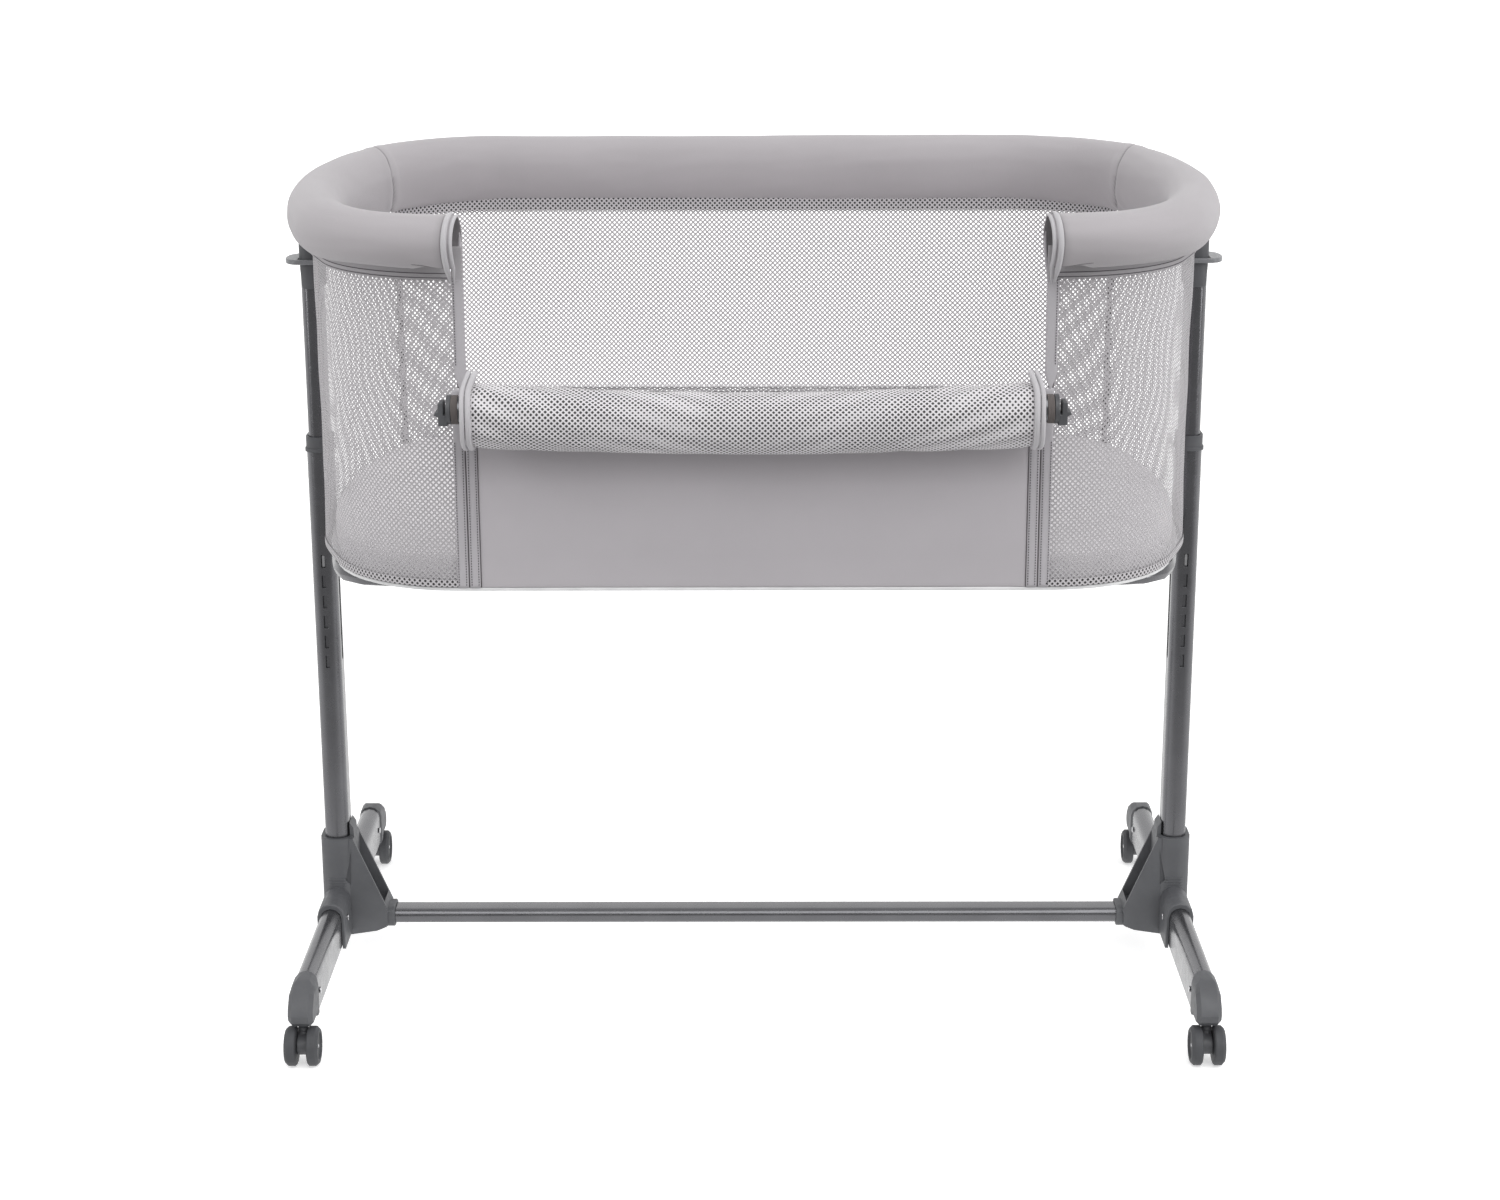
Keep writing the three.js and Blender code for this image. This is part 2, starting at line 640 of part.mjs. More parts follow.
function buildHeightAdjustment() {
  addPair('upper_post', upperPost(), metal);
  addPair('post_housing', postHousing(), plastic);
  addPair('lock_pin', lockPin(), steel);
  addPair('height_lever', heightLever(), plastic);
}

// ---------------------------------------------------------------- bassinet

function rimFrameTube() {
  const path = planPath(RIM, RIM_TUBE.startX);
  return sweep(tubeSection(RIM_TUBE.radius, RIM_TUBE.wall), path, RIM_Z, RIM_STEPS, 4);
}

// Foam pad round the rim's tube. Its two front ends are hollow, open below and inwards, so
// that the drop bar's clips can come up into them.
function rimPad() {
  const section = new THREE.Shape();
  section.absellipse(0, 0, RIM_PAD.height / 2, RIM_PAD.width / 2, 0, 2 * Math.PI);
  const pad = sweep(section, planPath(RIM, RIM_PAD.startX), RIM_Z, RIM_STEPS, 6);
  const tubeHole = sweep(
    circle(RIM_TUBE.radius + 2 * GAP),
    planPath(RIM, RIM_TUBE.startX),
    RIM_Z,
    RIM_STEPS,
    4,
  );
  const { inner, outer, y, halfDepth, rise } = CLIP_POCKET;
  const arch = new THREE.Shape();
  arch.moveTo(y - halfDepth, RIM_Z - RIM_PAD.height);
  arch.lineTo(y - halfDepth, RIM_Z);
  arch.absellipse(y, RIM_Z, halfDepth, rise, Math.PI, 0, true);
  arch.lineTo(y + halfDepth, RIM_Z - RIM_PAD.height);
  const pocket = prismX(arch, inner, outer);
  const neck = box(
    [HOUSING.innerX + 2 - GAP, HOUSING.outerX - 3 + GAP],
    [-14 - GAP, 14 + GAP],
    [RIM_Z - RIM_PAD.height, RIM_Z],
  );
  return cut(pad, tubeHole, pocket, mirrored(pocket, 'x'), neck, mirrored(neck, 'x'));
}

function meshWall() {
  const outer = planPoints(WALL, OPENING_X, 5);
  const inner = planPoints(shrink(WALL, WALL_THICKNESS), OPENING_X, 5).reverse();
  return prismZ(new THREE.Shape([...outer, ...inner]), WALL_Z.bottom, WALL_Z.top);
}

function frontPanel() {
  const { inner, back, front } = ZIP_TAPE;
  const reach = inner - GAP;
  return box([-reach, reach], [front + 0.6, back], [WALL_Z.bottom, FRONT_PANEL_TOP]);
}

// Zip tape beside the front panel; above the panel only its outer, narrower half goes on.
function zipTape() {
  const { inner, upperInner, wideTop, back, front } = ZIP_TAPE;
  const outer = OPENING_X - GAP;
  const outline = polygon([
    [inner, WALL_Z.bottom], [outer, WALL_Z.bottom], [outer, WALL_Z.top],
    [upperInner, WALL_Z.top], [upperInner, wideTop + 12], [inner, wideTop],
  ]);
  return prismY(outline, front, back);
}

function baseTube() {
  const { radius, wall, z, startX, steps } = BASE_TUBE;
  const tube = sweep(tubeSection(radius, wall), planPath(BASE_FRAME, startX, false), z, steps, 4);
  return cut(tube, rodX(BASE_BOLT.radius + GAP, 400, 460, 0, BASE_BOLT.z));
}

function baseBolt() {
  const { z, radius, head, inner, outer } = BASE_BOLT;
  return join(rodX(radius, inner, outer, 0, z), rodX(head, inner - 2.5, inner + 1, 0, z, 6));
}

function buildBassinet() {
  add('rim_frame_tube', rimFrameTube(), metal);
  add('rim_pad', rimPad(), jersey);
  add('mesh_wall', meshWall(), mesh);
  add('front_panel', frontPanel(), canvas);
  addPair('zip_tape', zipTape(), webbing);
  add('base_board', slab(WALL, BOARD.bottom, BOARD.bottom + BOARD.thickness), board);
  const padding = shrink(WALL, MATTRESS.inset);
  add('mattress', slab(padding, BOARD.bottom + BOARD.thickness + GAP, MATTRESS.top), cotton);
  addPair('base_tube', baseTube(), metal);
  addPair('base_bolt', baseBolt(), steel);
}

// ---------------------------------------------------------------- drop side

function dropBarTube() {
  const { y, z, radius, wall, halfLength } = DROP_BAR;
  const shape = tubeSection(radius, wall);
  return prismX(shape, -halfLength, halfLength, { segments: 8 }).translate(0, y, z);
}

function dropBarRoll() {
  const z = DROP_BAR.z - ROLL.droop;
  const pad = prismX(circle(ROLL.radius), -ROLL.halfLength, ROLL.halfLength, { segments: 10 })
    .translate(0, DROP_BAR.y, z);
  const reach = ROLL.halfLength + OVERSHOOT;
  return cut(pad, rodX(DROP_BAR.radius + GAP, -reach, reach, DROP_BAR.y, DROP_BAR.z, 40));
}

// The latch at each end of the drop bar: a plug, a round flange and a slotted block with a tip.
function dropBarClip() {
  const { y, z, radius, wall } = DROP_BAR;
  const { start, flange, end, tip, below, above, halfDepth } = CLIP;
  const slotFloor = z - 3.8;
  const prong = flange + 2.4;
  const hook = polygon([
    [flange - 1, z - below], [end, z - below], [end, z - 5.7], [tip, z - 3.8], [tip - 0.9, z - 1.4],
    [end, z - 0.5], [end, z + above - 1.3], [end - 1.3, z + above], [prong + 1, z + above],
    [prong, z + above - 1.3], [prong, slotFloor], [flange - 1, slotFloor],
  ]);
  return join(
    prismY(hook, y - halfDepth, y + halfDepth, { bevel: 0.6 }),
    rodX(radius + 1, start, flange, y, z, 24),
    rodX(radius - wall - 0.2, start - 24, start + 1, y, z),
  );
}

function buildDropSide() {
  add('drop_bar_tube', dropBarTube(), metal);
  add('drop_bar_roll', dropBarRoll(), mesh);
  addPair('drop_bar_clip', dropBarClip(), plastic);
}

buildStand();
buildCastors();
buildHeightAdjustment();
buildBassinet();
buildDropSide();

export default model;
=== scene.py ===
"""Bassinet on stand: cloth, padding, finishes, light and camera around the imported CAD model."""

import math
from math import cos, pi, radians, sin

import bmesh
import bpy
import numpy as np
from mathutils import Matrix, Vector, noise


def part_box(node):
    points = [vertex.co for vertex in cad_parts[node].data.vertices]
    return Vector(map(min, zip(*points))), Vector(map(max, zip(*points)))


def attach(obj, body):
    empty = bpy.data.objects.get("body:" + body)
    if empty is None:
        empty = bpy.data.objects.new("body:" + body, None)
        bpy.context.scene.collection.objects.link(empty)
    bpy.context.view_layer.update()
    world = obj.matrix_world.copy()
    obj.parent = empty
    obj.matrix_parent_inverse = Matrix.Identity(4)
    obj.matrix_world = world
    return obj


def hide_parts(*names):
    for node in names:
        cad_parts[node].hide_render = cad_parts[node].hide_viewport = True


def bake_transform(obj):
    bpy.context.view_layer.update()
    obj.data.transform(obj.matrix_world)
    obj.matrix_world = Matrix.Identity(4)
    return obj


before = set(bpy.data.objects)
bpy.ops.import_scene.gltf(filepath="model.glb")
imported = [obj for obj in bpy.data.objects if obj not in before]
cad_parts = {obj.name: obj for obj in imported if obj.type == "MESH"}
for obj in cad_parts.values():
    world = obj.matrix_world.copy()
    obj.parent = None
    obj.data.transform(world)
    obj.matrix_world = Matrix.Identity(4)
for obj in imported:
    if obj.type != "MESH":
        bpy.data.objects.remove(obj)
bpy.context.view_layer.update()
MM = 0.001
TAU = 2 * pi
SIDES = ((1, "right"), (-1, "left"))
SCENE = bpy.context.scene


def clamp(value):
    return min(1.0, max(0.0, value))


def bell(x, width):
    return math.exp(-(x / width) ** 2)


def ripple(x, y, z):
    """Smooth noise between about -1 and 1."""
    return noise.noise(Vector((x, y, z)))


def middle(node):
    low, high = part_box(node)
    return (low + high) / 2


def mirrored(side, first, second, shift=0.0):
    """The two x edges of a strip given in millimetres from the middle, the lower one first."""
    return sorted((side * first * MM + shift, side * second * MM + shift))


# -------- sizes taken from the CAD

CENTRE_Y = middle("right_upper_post").y
PAD_LOW, PAD_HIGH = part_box("rim_pad")
RIM_Z = (PAD_LOW.z + PAD_HIGH.z) / 2
PAD_HALF_WIDTH = 27 * MM
PAD_HALF_HEIGHT = (PAD_HIGH.z - PAD_LOW.z) / 2
PAD_END_X = 268 * MM  # where the two front ends of the rim start
POCKET_BACK_X = 309.5 * MM  # how deep the clip pockets reach into them
WALL_LOW, WALL_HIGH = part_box("mesh_wall")
OPENING_X = 281 * MM  # outer edge of the tapes beside the front opening
MATTRESS_LOW, MATTRESS_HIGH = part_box("mattress")
PANEL_LOW, PANEL_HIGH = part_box("front_panel")
TAPE_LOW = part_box("right_zip_tape")[0]
ROLL_LOW, ROLL_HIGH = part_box("drop_bar_roll")
ROLL_CENTRE = (ROLL_LOW + ROLL_HIGH) / 2


def plan(half_width, half_depth, corner, side):
    """The right half of a basket outline seen from above, front middle to rear middle.

    It takes half sizes and the radii of its corners and sides, in millimetres.
    """
    corner_y = half_depth - corner
    side_x = half_width - side
    corner_x = side_x + math.sqrt((side - corner) ** 2 - corner_y ** 2)
    turn = math.atan2(corner_y, corner_x - side_x)
    points = [(0.0, -half_depth)]
    for x, y, radius, first, last in (
        (corner_x, -corner_y, corner, -pi / 2, -turn),
        (side_x, 0.0, side, -turn, turn),
        (corner_x, corner_y, corner, turn, pi / 2),
    ):
        for angle in np.linspace(first, last, 60):
            points.append((x + radius * cos(angle), y + radius * sin(angle)))
    points.append((0.0, half_depth))
    return np.array(points) * MM


class Path:
    """A closed plan outline that is read by the distance walked from the front middle."""

    def __init__(self, half):
        back = half[::-1][1:] * (-1, 1)
        points = np.vstack([half, back])
        points[:, 1] += CENTRE_Y
        steps = np.linalg.norm(np.diff(points, axis=0), axis=1)
        keep = np.append(True, steps > 1e-7)
        self.points = points[keep]
        steps = np.linalg.norm(np.diff(self.points, axis=0), axis=1)
        self.walk = np.concatenate([[0], np.cumsum(steps)])
        self.length = self.walk[-1]

    def at(self, s):
        s = s % self.length
        return np.array([np.interp(s, self.walk, self.points[:, i]) for i in (0, 1)])

    def outward(self, s, reach=0.004):
        along = self.at(s + reach) - self.at(s - reach)
        along /= np.linalg.norm(along)
        return np.array([along[1], -along[0]])


def rear_distance(path, x):
    """Distance along a path to the point with this x on the right half of its rear."""
    half = path.length / 2
    span = np.linspace(half / 2, half, 800)
    xs = np.array([path.at(s)[0] for s in span])
    return float(span[np.argmin(abs(xs - x))])


BULGE = 6 * MM  # how far the mesh wall stands out beside the front of each post
BULGE_AHEAD = 110 * MM  # how far in front of the posts it stands out most
BULGE_WIDTH = 55 * MM


def bulge_sides(path):
    for point in path.points:
        if point[1] < CENTRE_Y and abs(point[0]) > 300 * MM:
            share = bell(point[1] - CENTRE_Y + BULGE_AHEAD, BULGE_WIDTH)
            point[0] += math.copysign(BULGE, point[0]) * share


RIM_PATH = Path(plan(437.6, 285, 140, 613))
WALL_PATH = Path(plan(435.5, 274, 131, 611))
bulge_sides(WALL_PATH)
HEM_LOW = 792 * MM  # lower edge of the jersey band that takes the mesh

FOLD_SLOPE = 0.4  # rise of the slanting folds in the rolled mesh, per metre along the bar
FOLD_RATE = 270.0  # radians per metre across those folds
ROLL_SKIN = 30 * MM  # radius of the cloth roll; the CAD solid leaves room for its wrinkles


# -------- mesh helpers

def new_mesh(name, points, faces, uvs=None, shades=None):
    """A smooth-shaded mesh object. uvs are per point, in metres; shades darken a point from 0 to 1."""
    data = bpy.data.meshes.new(name)
    data.from_pydata([tuple(p) for p in points], [], faces)
    if uvs is not None:
        layer = data.uv_layers.new(name="cloth")
        index = np.zeros(len(data.loops), int)
        data.loops.foreach_get("vertex_index", index)
        layer.data.foreach_set("uv", np.array(uvs, np.float32)[index].ravel())
    if shades is not None:
        attribute = data.attributes.new("shade", "FLOAT", "POINT")
        attribute.data.foreach_set("value", np.array(shades, np.float32))
    data.shade_smooth()
    obj = bpy.data.objects.new(name, data)
    SCENE.collection.objects.link(obj)
    return obj


def grid_faces(rows, columns, close_rows=False, close_columns=False):
    faces = []
    for i in range(rows if close_rows else rows - 1):
        for j in range(columns if close_columns else columns - 1):
            a = i * columns + j
            b = i * columns + (j + 1) % columns
            c = ((i + 1) % rows) * columns + (j + 1) % columns
            d = ((i + 1) % rows) * columns + j
            faces.append((a, b, c, d))
    return faces


def weld(obj, distance=0.00002):
    """Joins the points that lie on each other, and turns every face outwards."""
    mesh = bmesh.new()
    mesh.from_mesh(obj.data)
    bmesh.ops.remove_doubles(mesh, verts=mesh.verts, dist=distance)
    bmesh.ops.dissolve_degenerate(mesh, edges=mesh.edges, dist=distance / 4)
    bmesh.ops.recalc_face_normals(mesh, faces=mesh.faces)
    mesh.to_mesh(obj.data)
    mesh.free()
    obj.data.shade_smooth()
    return obj


def ribbon(name, path, distances, profile, closed=True, wobble=0.0):
    """Sweeps a profile of (outward, z) points along a plan path."""
    points, uvs = [], []
    for s in distances:
        base = path.at(s)
        out = path.outward(s)
        run = 0.0
        for k, (offset, z) in enumerate(profile):
            if k:
                run += math.dist(profile[k - 1], profile[k])
            shift = wobble * ripple(s * 9, z * 14, 3.0)
            x, y = base + out * (offset + shift)
            points.append((x, y, z))
            uvs.append((s, run))
    faces = grid_faces(len(distances), len(profile), close_columns=closed)
    if closed:
        count = len(profile)
        last = (len(distances) - 1) * count
        faces.append(tuple(range(count))[::-1])
        faces.append(tuple(range(last, last + count)))
    return new_mesh(name, points, faces, uvs)


def band(path, first_x, count):
    """Even distances along a path from the right edge of the opening round to the left edge."""
    return np.linspace(first_x, path.length - first_x, count)


def rounded_profile(inner, outer, bottom, top, radius, steps=4):
    """A closed rounded rectangle as (outward, z) points."""
    points = []
    for cx, cz, start in (
        (outer - radius, bottom + radius, -90),
        (outer - radius, top - radius, 0),
        (inner + radius, top - radius, 90),
        (inner + radius, bottom + radius, 180),
    ):
        for k in range(steps + 1):
            a = radians(start + 90 * k / steps)
            points.append((cx + radius * cos(a), cz + radius * sin(a)))
    return points


def tube(name, line, radius, sides=10, closed=False):
    """A round tube along a list of points, with rounded ends. radius is a number or one per point."""
    line = [Vector(p) for p in line]
    count = len(line)
    radii = [radius] * count if isinstance(radius, (int, float)) else list(radius)
    points = []
    up = Vector((0, 0, 1))
    first = (line[1] - line[0]).normalized()
    side = first.cross(up if abs(first.z) < 0.9 else Vector((1, 0, 0))).normalized()
    for i, p in enumerate(line):
        if closed:
            along = line[(i + 1) % count] - line[i - 1]
        else:
            along = line[min(i + 1, count - 1)] - line[max(i - 1, 0)]
        along.normalize()
        side = (side - along * side.dot(along)).normalized()
        other = along.cross(side)
        for k in range(sides):
            a = TAU * k / sides
            points.append(p + (side * cos(a) + other * sin(a)) * radii[i])
    faces = grid_faces(count, sides, close_rows=closed, close_columns=True)
    if not closed:
        for end, step in ((0, -1), (count - 1, 1)):
            start = end * sides
            tip = len(points)
            direction = (line[end] - line[end - step]).normalized()
            points.append(line[end] + direction * radii[end] * 0.6)
            for k in range(sides):
                a, b = start + k, start + (k + 1) % sides
                faces.append((a, b, tip) if step > 0 else (b, a, tip))
    return new_mesh(name, points, faces)


def join(name, objects):
    """Makes one object of several."""
    bpy.context.view_layer.update()
    with bpy.context.temp_override(
        active_object=objects[0], selected_editable_objects=objects, selected_objects=objects
    ):
        bpy.ops.object.join()
    objects[0].name = name
    objects[0].data.name = name
    return objects[0]


def modify(obj, kind, **settings):
    modifier = obj.modifiers.new(kind.title(), kind)
    for key, value in settings.items():
        setattr(modifier, key, value)
    return modifier


def apply_modifiers(obj):
    """Turns the mesh with its modifiers into the mesh itself."""
    graph = bpy.context.evaluated_depsgraph_get()
    made = bpy.data.meshes.new_from_object(obj.evaluated_get(graph), depsgraph=graph)
    obj.modifiers.clear()
    obj.data = made


def coordinates(obj):
    flat = np.zeros(len(obj.data.vertices) * 3, np.float32)
    obj.data.vertices.foreach_get("co", flat)
    return flat.reshape(-1, 3)


def inflate(obj, voxel, cap, hold, frames=20):
    """Remeshes a closed pad and lets a pressurised cloth simulation swell it by at most cap.

    hold(point) says how firmly a point is held in place, from 0 to 1.
    """
    modify(obj, "REMESH", mode="VOXEL", voxel_size=voxel)
    apply_modifiers(obj)
    before = coordinates(obj)
    group = obj.vertex_groups.new(name="held")
    for vertex in obj.data.vertices:
        group.add([vertex.index], hold(vertex.co), "REPLACE")
    cloth = modify(obj, "CLOTH")
    settings = dict(quality=4, mass=0.2, tension_stiffness=12, compression_stiffness=6,
                    bending_stiffness=0.3, use_pressure=True, uniform_pressure_force=4.0,
                    vertex_group_mass="held")
    for key, value in settings.items():
        setattr(cloth.settings, key, value)
    cloth.settings.effector_weights.gravity = 0
    cloth.point_cache.frame_start = 1
    cloth.point_cache.frame_end = frames
    for step in range(1, frames + 1):
        SCENE.frame_set(step)
    apply_modifiers(obj)
    SCENE.frame_set(1)
    move = coordinates(obj) - before
    size = np.linalg.norm(move, axis=1, keepdims=True)
    move *= np.minimum(1, cap / np.maximum(size, 1e-9))
    obj.data.vertices.foreach_set("co", (before + move).ravel())
    obj.data.update()
    obj.data.shade_smooth()
    obj.vertex_groups.clear()


def push(obj, amount):
    """Moves each point along its normal by amount(point)."""
    normals = [v.normal.copy() for v in obj.data.vertices]
    for vertex, normal in zip(obj.data.vertices, normals):
        vertex.co += normal * amount(vertex.co)
    obj.data.update()


# -------- materials

def linear(*rgb):
    """Linear colour of an sRGB colour given as 0 to 255."""
    out = []
    for value in rgb:
        v = value / 255
        out.append(v / 12.92 if v <= 0.04045 else ((v + 0.055) / 1.055) ** 2.4)
    return (*out, 1.0)


class Look:
    """A Principled material whose colour, roughness and bump come from small node chains."""

    def __init__(self, name, colour, roughness, **values):
        self.material = bpy.data.materials.new(name)
        self.material.use_nodes = True
        self.nodes = self.material.node_tree.nodes
        self.links = self.material.node_tree.links
        self.shader = self.nodes["Principled BSDF"]
        self.colour = linear(*colour)
        self.shader.inputs["Base Color"].default_value = self.colour
        self.shader.inputs["Roughness"].default_value = roughness
        for key, value in values.items():
            self.shader.inputs[key.replace("_", " ")].default_value = value
        self.space = self.nodes.new("ShaderNodeTexCoord")

    def link(self, source, target):
        if isinstance(source, (int, float)):
            target.default_value = source
        else:
            self.links.new(source, target)

    def math(self, operation, a, b=0.0, c=0.0):
        node = self.nodes.new("ShaderNodeMath")
        node.operation = operation
        for value, socket in zip((a, b, c), node.inputs):
            self.link(value, socket)
        return node.outputs[0]

    def plus(self, a, b):
        return self.math("ADD", a, b)

    def minus(self, a, b):
        return self.math("SUBTRACT", a, b)

    def times(self, a, b):
        return self.math("MULTIPLY", a, b)

    def split(self, kind="Object"):
        node = self.nodes.new("ShaderNodeSeparateXYZ")
        self.link(self.space.outputs[kind], node.inputs[0])
        return node.outputs

    def scaled(self, scale):
        node = self.nodes.new("ShaderNodeMapping")
        node.inputs["Scale"].default_value = scale
        self.link(self.space.outputs["Object"], node.inputs["Vector"])
        return node.outputs[0]

    def noise(self, scale, detail=3.0, stretch=(1, 1, 1)):
        node = self.nodes.new("ShaderNodeTexNoise")
        node.inputs["Scale"].default_value = scale
        node.inputs["Detail"].default_value = detail
        self.link(self.scaled(stretch), node.inputs["Vector"])
        return node.outputs["Fac"]

    def ramp(self, value, low, high, to_low=0.0, to_high=1.0):
        node = self.nodes.new("ShaderNodeMapRange")
        for socket, number in zip(node.inputs[1:5], (low, high, to_low, to_high)):
            socket.default_value = number
        self.link(value, node.inputs[0])
        return node.outputs[0]

    def mix(self, factor, first, second):
        node = self.nodes.new("ShaderNodeMix")
        node.data_type = "RGBA"
        self.link(factor, node.inputs[0])
        for value, socket in ((first, node.inputs[6]), (second, node.inputs[7])):
            if isinstance(value, tuple):
                socket.default_value = value
            else:
                self.link(value, socket)
        return node.outputs[2]

    def paint(self, colour):
        self.link(colour, self.shader.inputs["Base Color"])

    def rough(self, value):
        self.link(value, self.shader.inputs["Roughness"])

    def bump(self, height, distance, strength=1.0):
        node = self.nodes.new("ShaderNodeBump")
        node.inputs["Distance"].default_value = distance
        node.inputs["Strength"].default_value = strength
        self.link(height, node.inputs["Height"])
        previous = self.shader.inputs["Normal"]
        if previous.is_linked:
            self.link(previous.links[0].from_socket, node.inputs["Normal"])
        self.link(node.outputs[0], previous)


def tinted(colour, factor):
    return tuple(c * factor for c in colour[:3]) + (1.0,)


def moulded_plastic(name, colour, roughness, grain=0.00006):
    look = Look(name, colour, roughness)
    blotch = look.noise(38, 4)
    look.paint(look.mix(look.ramp(blotch, 0.3, 0.7), tinted(look.colour, 0.9), tinted(look.colour, 1.1)))
    look.rough(look.ramp(look.noise(160, 2), 0.3, 0.7, roughness - 0.06, roughness + 0.08))
    look.bump(look.noise(2600, 2), grain, 0.55)
    return look.material


def powder_coat(name, colour, roughness):
    look = Look(name, colour, roughness, Metallic=0.9, Coat_Weight=0.3, Coat_Roughness=0.2)
    look.paint(look.mix(look.ramp(look.noise(24, 3), 0.3, 0.7),
                        tinted(look.colour, 0.93), tinted(look.colour, 1.07)))
    look.rough(look.ramp(look.noise(90, 3), 0.3, 0.7, roughness - 0.04, roughness + 0.05))
    look.bump(look.noise(1500, 2), 0.00004, 0.4)
    return look.material


def steel(name):
    look = Look(name, (196, 196, 198), 0.24, Metallic=1.0)
    look.rough(look.ramp(look.noise(300, 3, (1, 8, 1)), 0.3, 0.7, 0.18, 0.34))
    look.bump(look.noise(900, 2, (1, 12, 1)), 0.00003, 0.5)
    return look.material


def cloth(name, colour, pitch, depth, sheen=0.25, contrast=0.08, shaded=False):
    """Plain or knitted cloth: two crossed thread waves, fibre noise and slow colour variation; shaded
    adds painted shade from the points' shade attribute.
    """
    look = Look(name, colour, 0.88, Sheen_Weight=sheen, Sheen_Roughness=0.45, Specular_IOR_Level=0.25)
    x, y, z = look.split()
    across = look.math("SINE", look.times(look.plus(x, y), TAU / pitch))
    up = look.math("SINE", look.times(z, TAU / (pitch * 0.8)))
    weave = look.times(across, up)
    fibre = look.noise(1900, 3)
    height = look.plus(look.times(weave, 0.5), fibre)
    slow = look.ramp(look.noise(11, 4), 0.3, 0.7)
    fine = look.ramp(look.plus(look.times(weave, 0.25), fibre), 0.25, 0.8)
    shade = look.math("MULTIPLY_ADD", slow, 0.45, look.times(fine, 0.55))
    colour_out = look.mix(shade, tinted(look.colour, 1 - contrast), tinted(look.colour, 1 + contrast))
    if shaded:
        # Painted shade: the colour darkens towards 0.28 of itself where the shade attribute rises to 1.
        attribute = look.nodes.new("ShaderNodeAttribute")
        attribute.attribute_name = "shade"
        colour_out = look.mix(attribute.outputs["Fac"], colour_out, tinted(look.colour, 0.28))
    look.paint(colour_out)
    look.bump(height, depth, 0.6)
    return look.material


def lattice(look, u, v, pitch):
    """How far a point is from the nearest hole centre of a diamond net, in shares of the pitch."""
    parts = []
    for diagonal in (look.plus(u, v), look.minus(u, v)):
        cells = look.times(diagonal, math.sqrt(0.5) / pitch)
        parts.append(look.math("ABSOLUTE", look.minus(look.math("FRACT", cells), 0.5)))
    round_part = look.math("SQRT", look.plus(*(look.times(part, part) for part in parts)))
    square_part = look.math("MAXIMUM", *parts)
    return look.plus(look.times(round_part, 0.55), look.times(square_part, 0.45))


def net(name, colour, pitch, hole, see_through, round_bar=False, hole_shade=0.12):
    """Knitted mesh with diamond holes: real openings, or holes painted dark as the shade of the layers
    behind them.

    round_bar lays the net round the drop bar and closes the holes here and there along its folds.
    """
    look = Look(name, colour, 0.8, Sheen_Weight=0.2, Specular_IOR_Level=0.3)
    if round_bar:
        x, y, z = look.split()
        turn = look.math("ARCTAN2", look.minus(z, ROLL_CENTRE.z - 6 * MM), look.minus(ROLL_CENTRE.y, y))
        u, v = x, look.times(turn, ROLL_SKIN)
    else:
        u, v, _ = look.split("UV")
    warp = look.times(look.minus(look.noise(14, 2), 0.5), 0.006)
    far = lattice(look, look.plus(u, warp), v, pitch)
    if round_bar:
        slant = look.minus(v, look.times(look.math("ABSOLUTE", x), FOLD_SLOPE))
        phase = look.math("MULTIPLY_ADD", slant, FOLD_RATE, look.times(look.noise(8, 2), 5.0))
        reach = look.ramp(look.noise(10, 2), 0.4, 0.7, 0.0, 0.06)
        fold = look.times(look.plus(look.math("SINE", phase), 1.0), reach)
        far = look.plus(far, fold)
    thread = look.ramp(far, hole - 0.03, hole + 0.03)
    weave = look.ramp(look.noise(1400, 3), 0.3, 0.7)
    threads = look.mix(weave, tinted(look.colour, 0.9), tinted(look.colour, 1.08))
    if see_through:
        look.paint(threads)
        look.link(thread, look.shader.inputs["Alpha"])
    else:
        # Painted shade in the holes: a dark share of the thread colour.
        look.paint(look.mix(thread, tinted(look.colour, hole_shade), threads))
    look.bump(look.ramp(far, hole - 0.08, 0.5), 0.0004, 0.7)
    return look.material


# Cloths are name, colour, thread pitch, bump depth, sheen and contrast; nets are name, colour, pitch,
# hole size and whether the holes are real.
METAL = powder_coat("coated_metal_satin", (108, 108, 111), 0.25)
PLASTIC = moulded_plastic("dark_plastic_matt", (84, 85, 88), 0.5)
STEEL = steel("bright_steel_turned")
# The lever: dark plastic with a glossier surface, made lighter as a painted reflection.
SATIN_AND_SHEEN = moulded_plastic("dark_plastic_satin_sheen", (126, 127, 130), 0.3)
TREAD = moulded_plastic("castor_tread_rubber", (66, 67, 70), 0.62, 0.00012)
BOARD = moulded_plastic("base_panel_white", (226, 226, 227), 0.5)
JERSEY = cloth("rim_jersey_knit", (176, 172, 175), 0.0009, 0.00012, 0.3, 0.05, shaded=True)
HEM = cloth("hem_tape", (176, 173, 176), 0.0011, 0.00015, 0.2, 0.06)
PANEL = cloth("panel_fabric_weave", (196, 192, 196), 0.0007, 0.00009, 0.2, 0.05, shaded=True)
TAPE = cloth("tape_webbing_rib", (187, 184, 188), 0.0008, 0.00016, 0.2, 0.07)
PIPING = cloth("tape_piping", (196, 194, 197), 0.0008, 0.00016, 0.25, 0.06)
THREAD = cloth("stitch_thread", (104, 101, 105), 0.0005, 0.0001, 0.1, 0.1)
# Painted shade: dark cloth that stands for the shadow in the zip gaps.
SHADOW_CLOTH = cloth("cloth_in_shadow", (104, 100, 103), 0.0009, 0.0002, 0.1, 0.2)
WRAP = cloth("cord_wrap", (112, 106, 104), 0.0012, 0.0003, 0.1, 0.2)
COVER = cloth("mattress_cover_quilt", (244, 242, 244), 0.0016, 0.0002, 0.15, 0.03)
OPEN_NET = net("mesh_fabric_open", (180, 177, 180), 0.0038, 0.314, True)
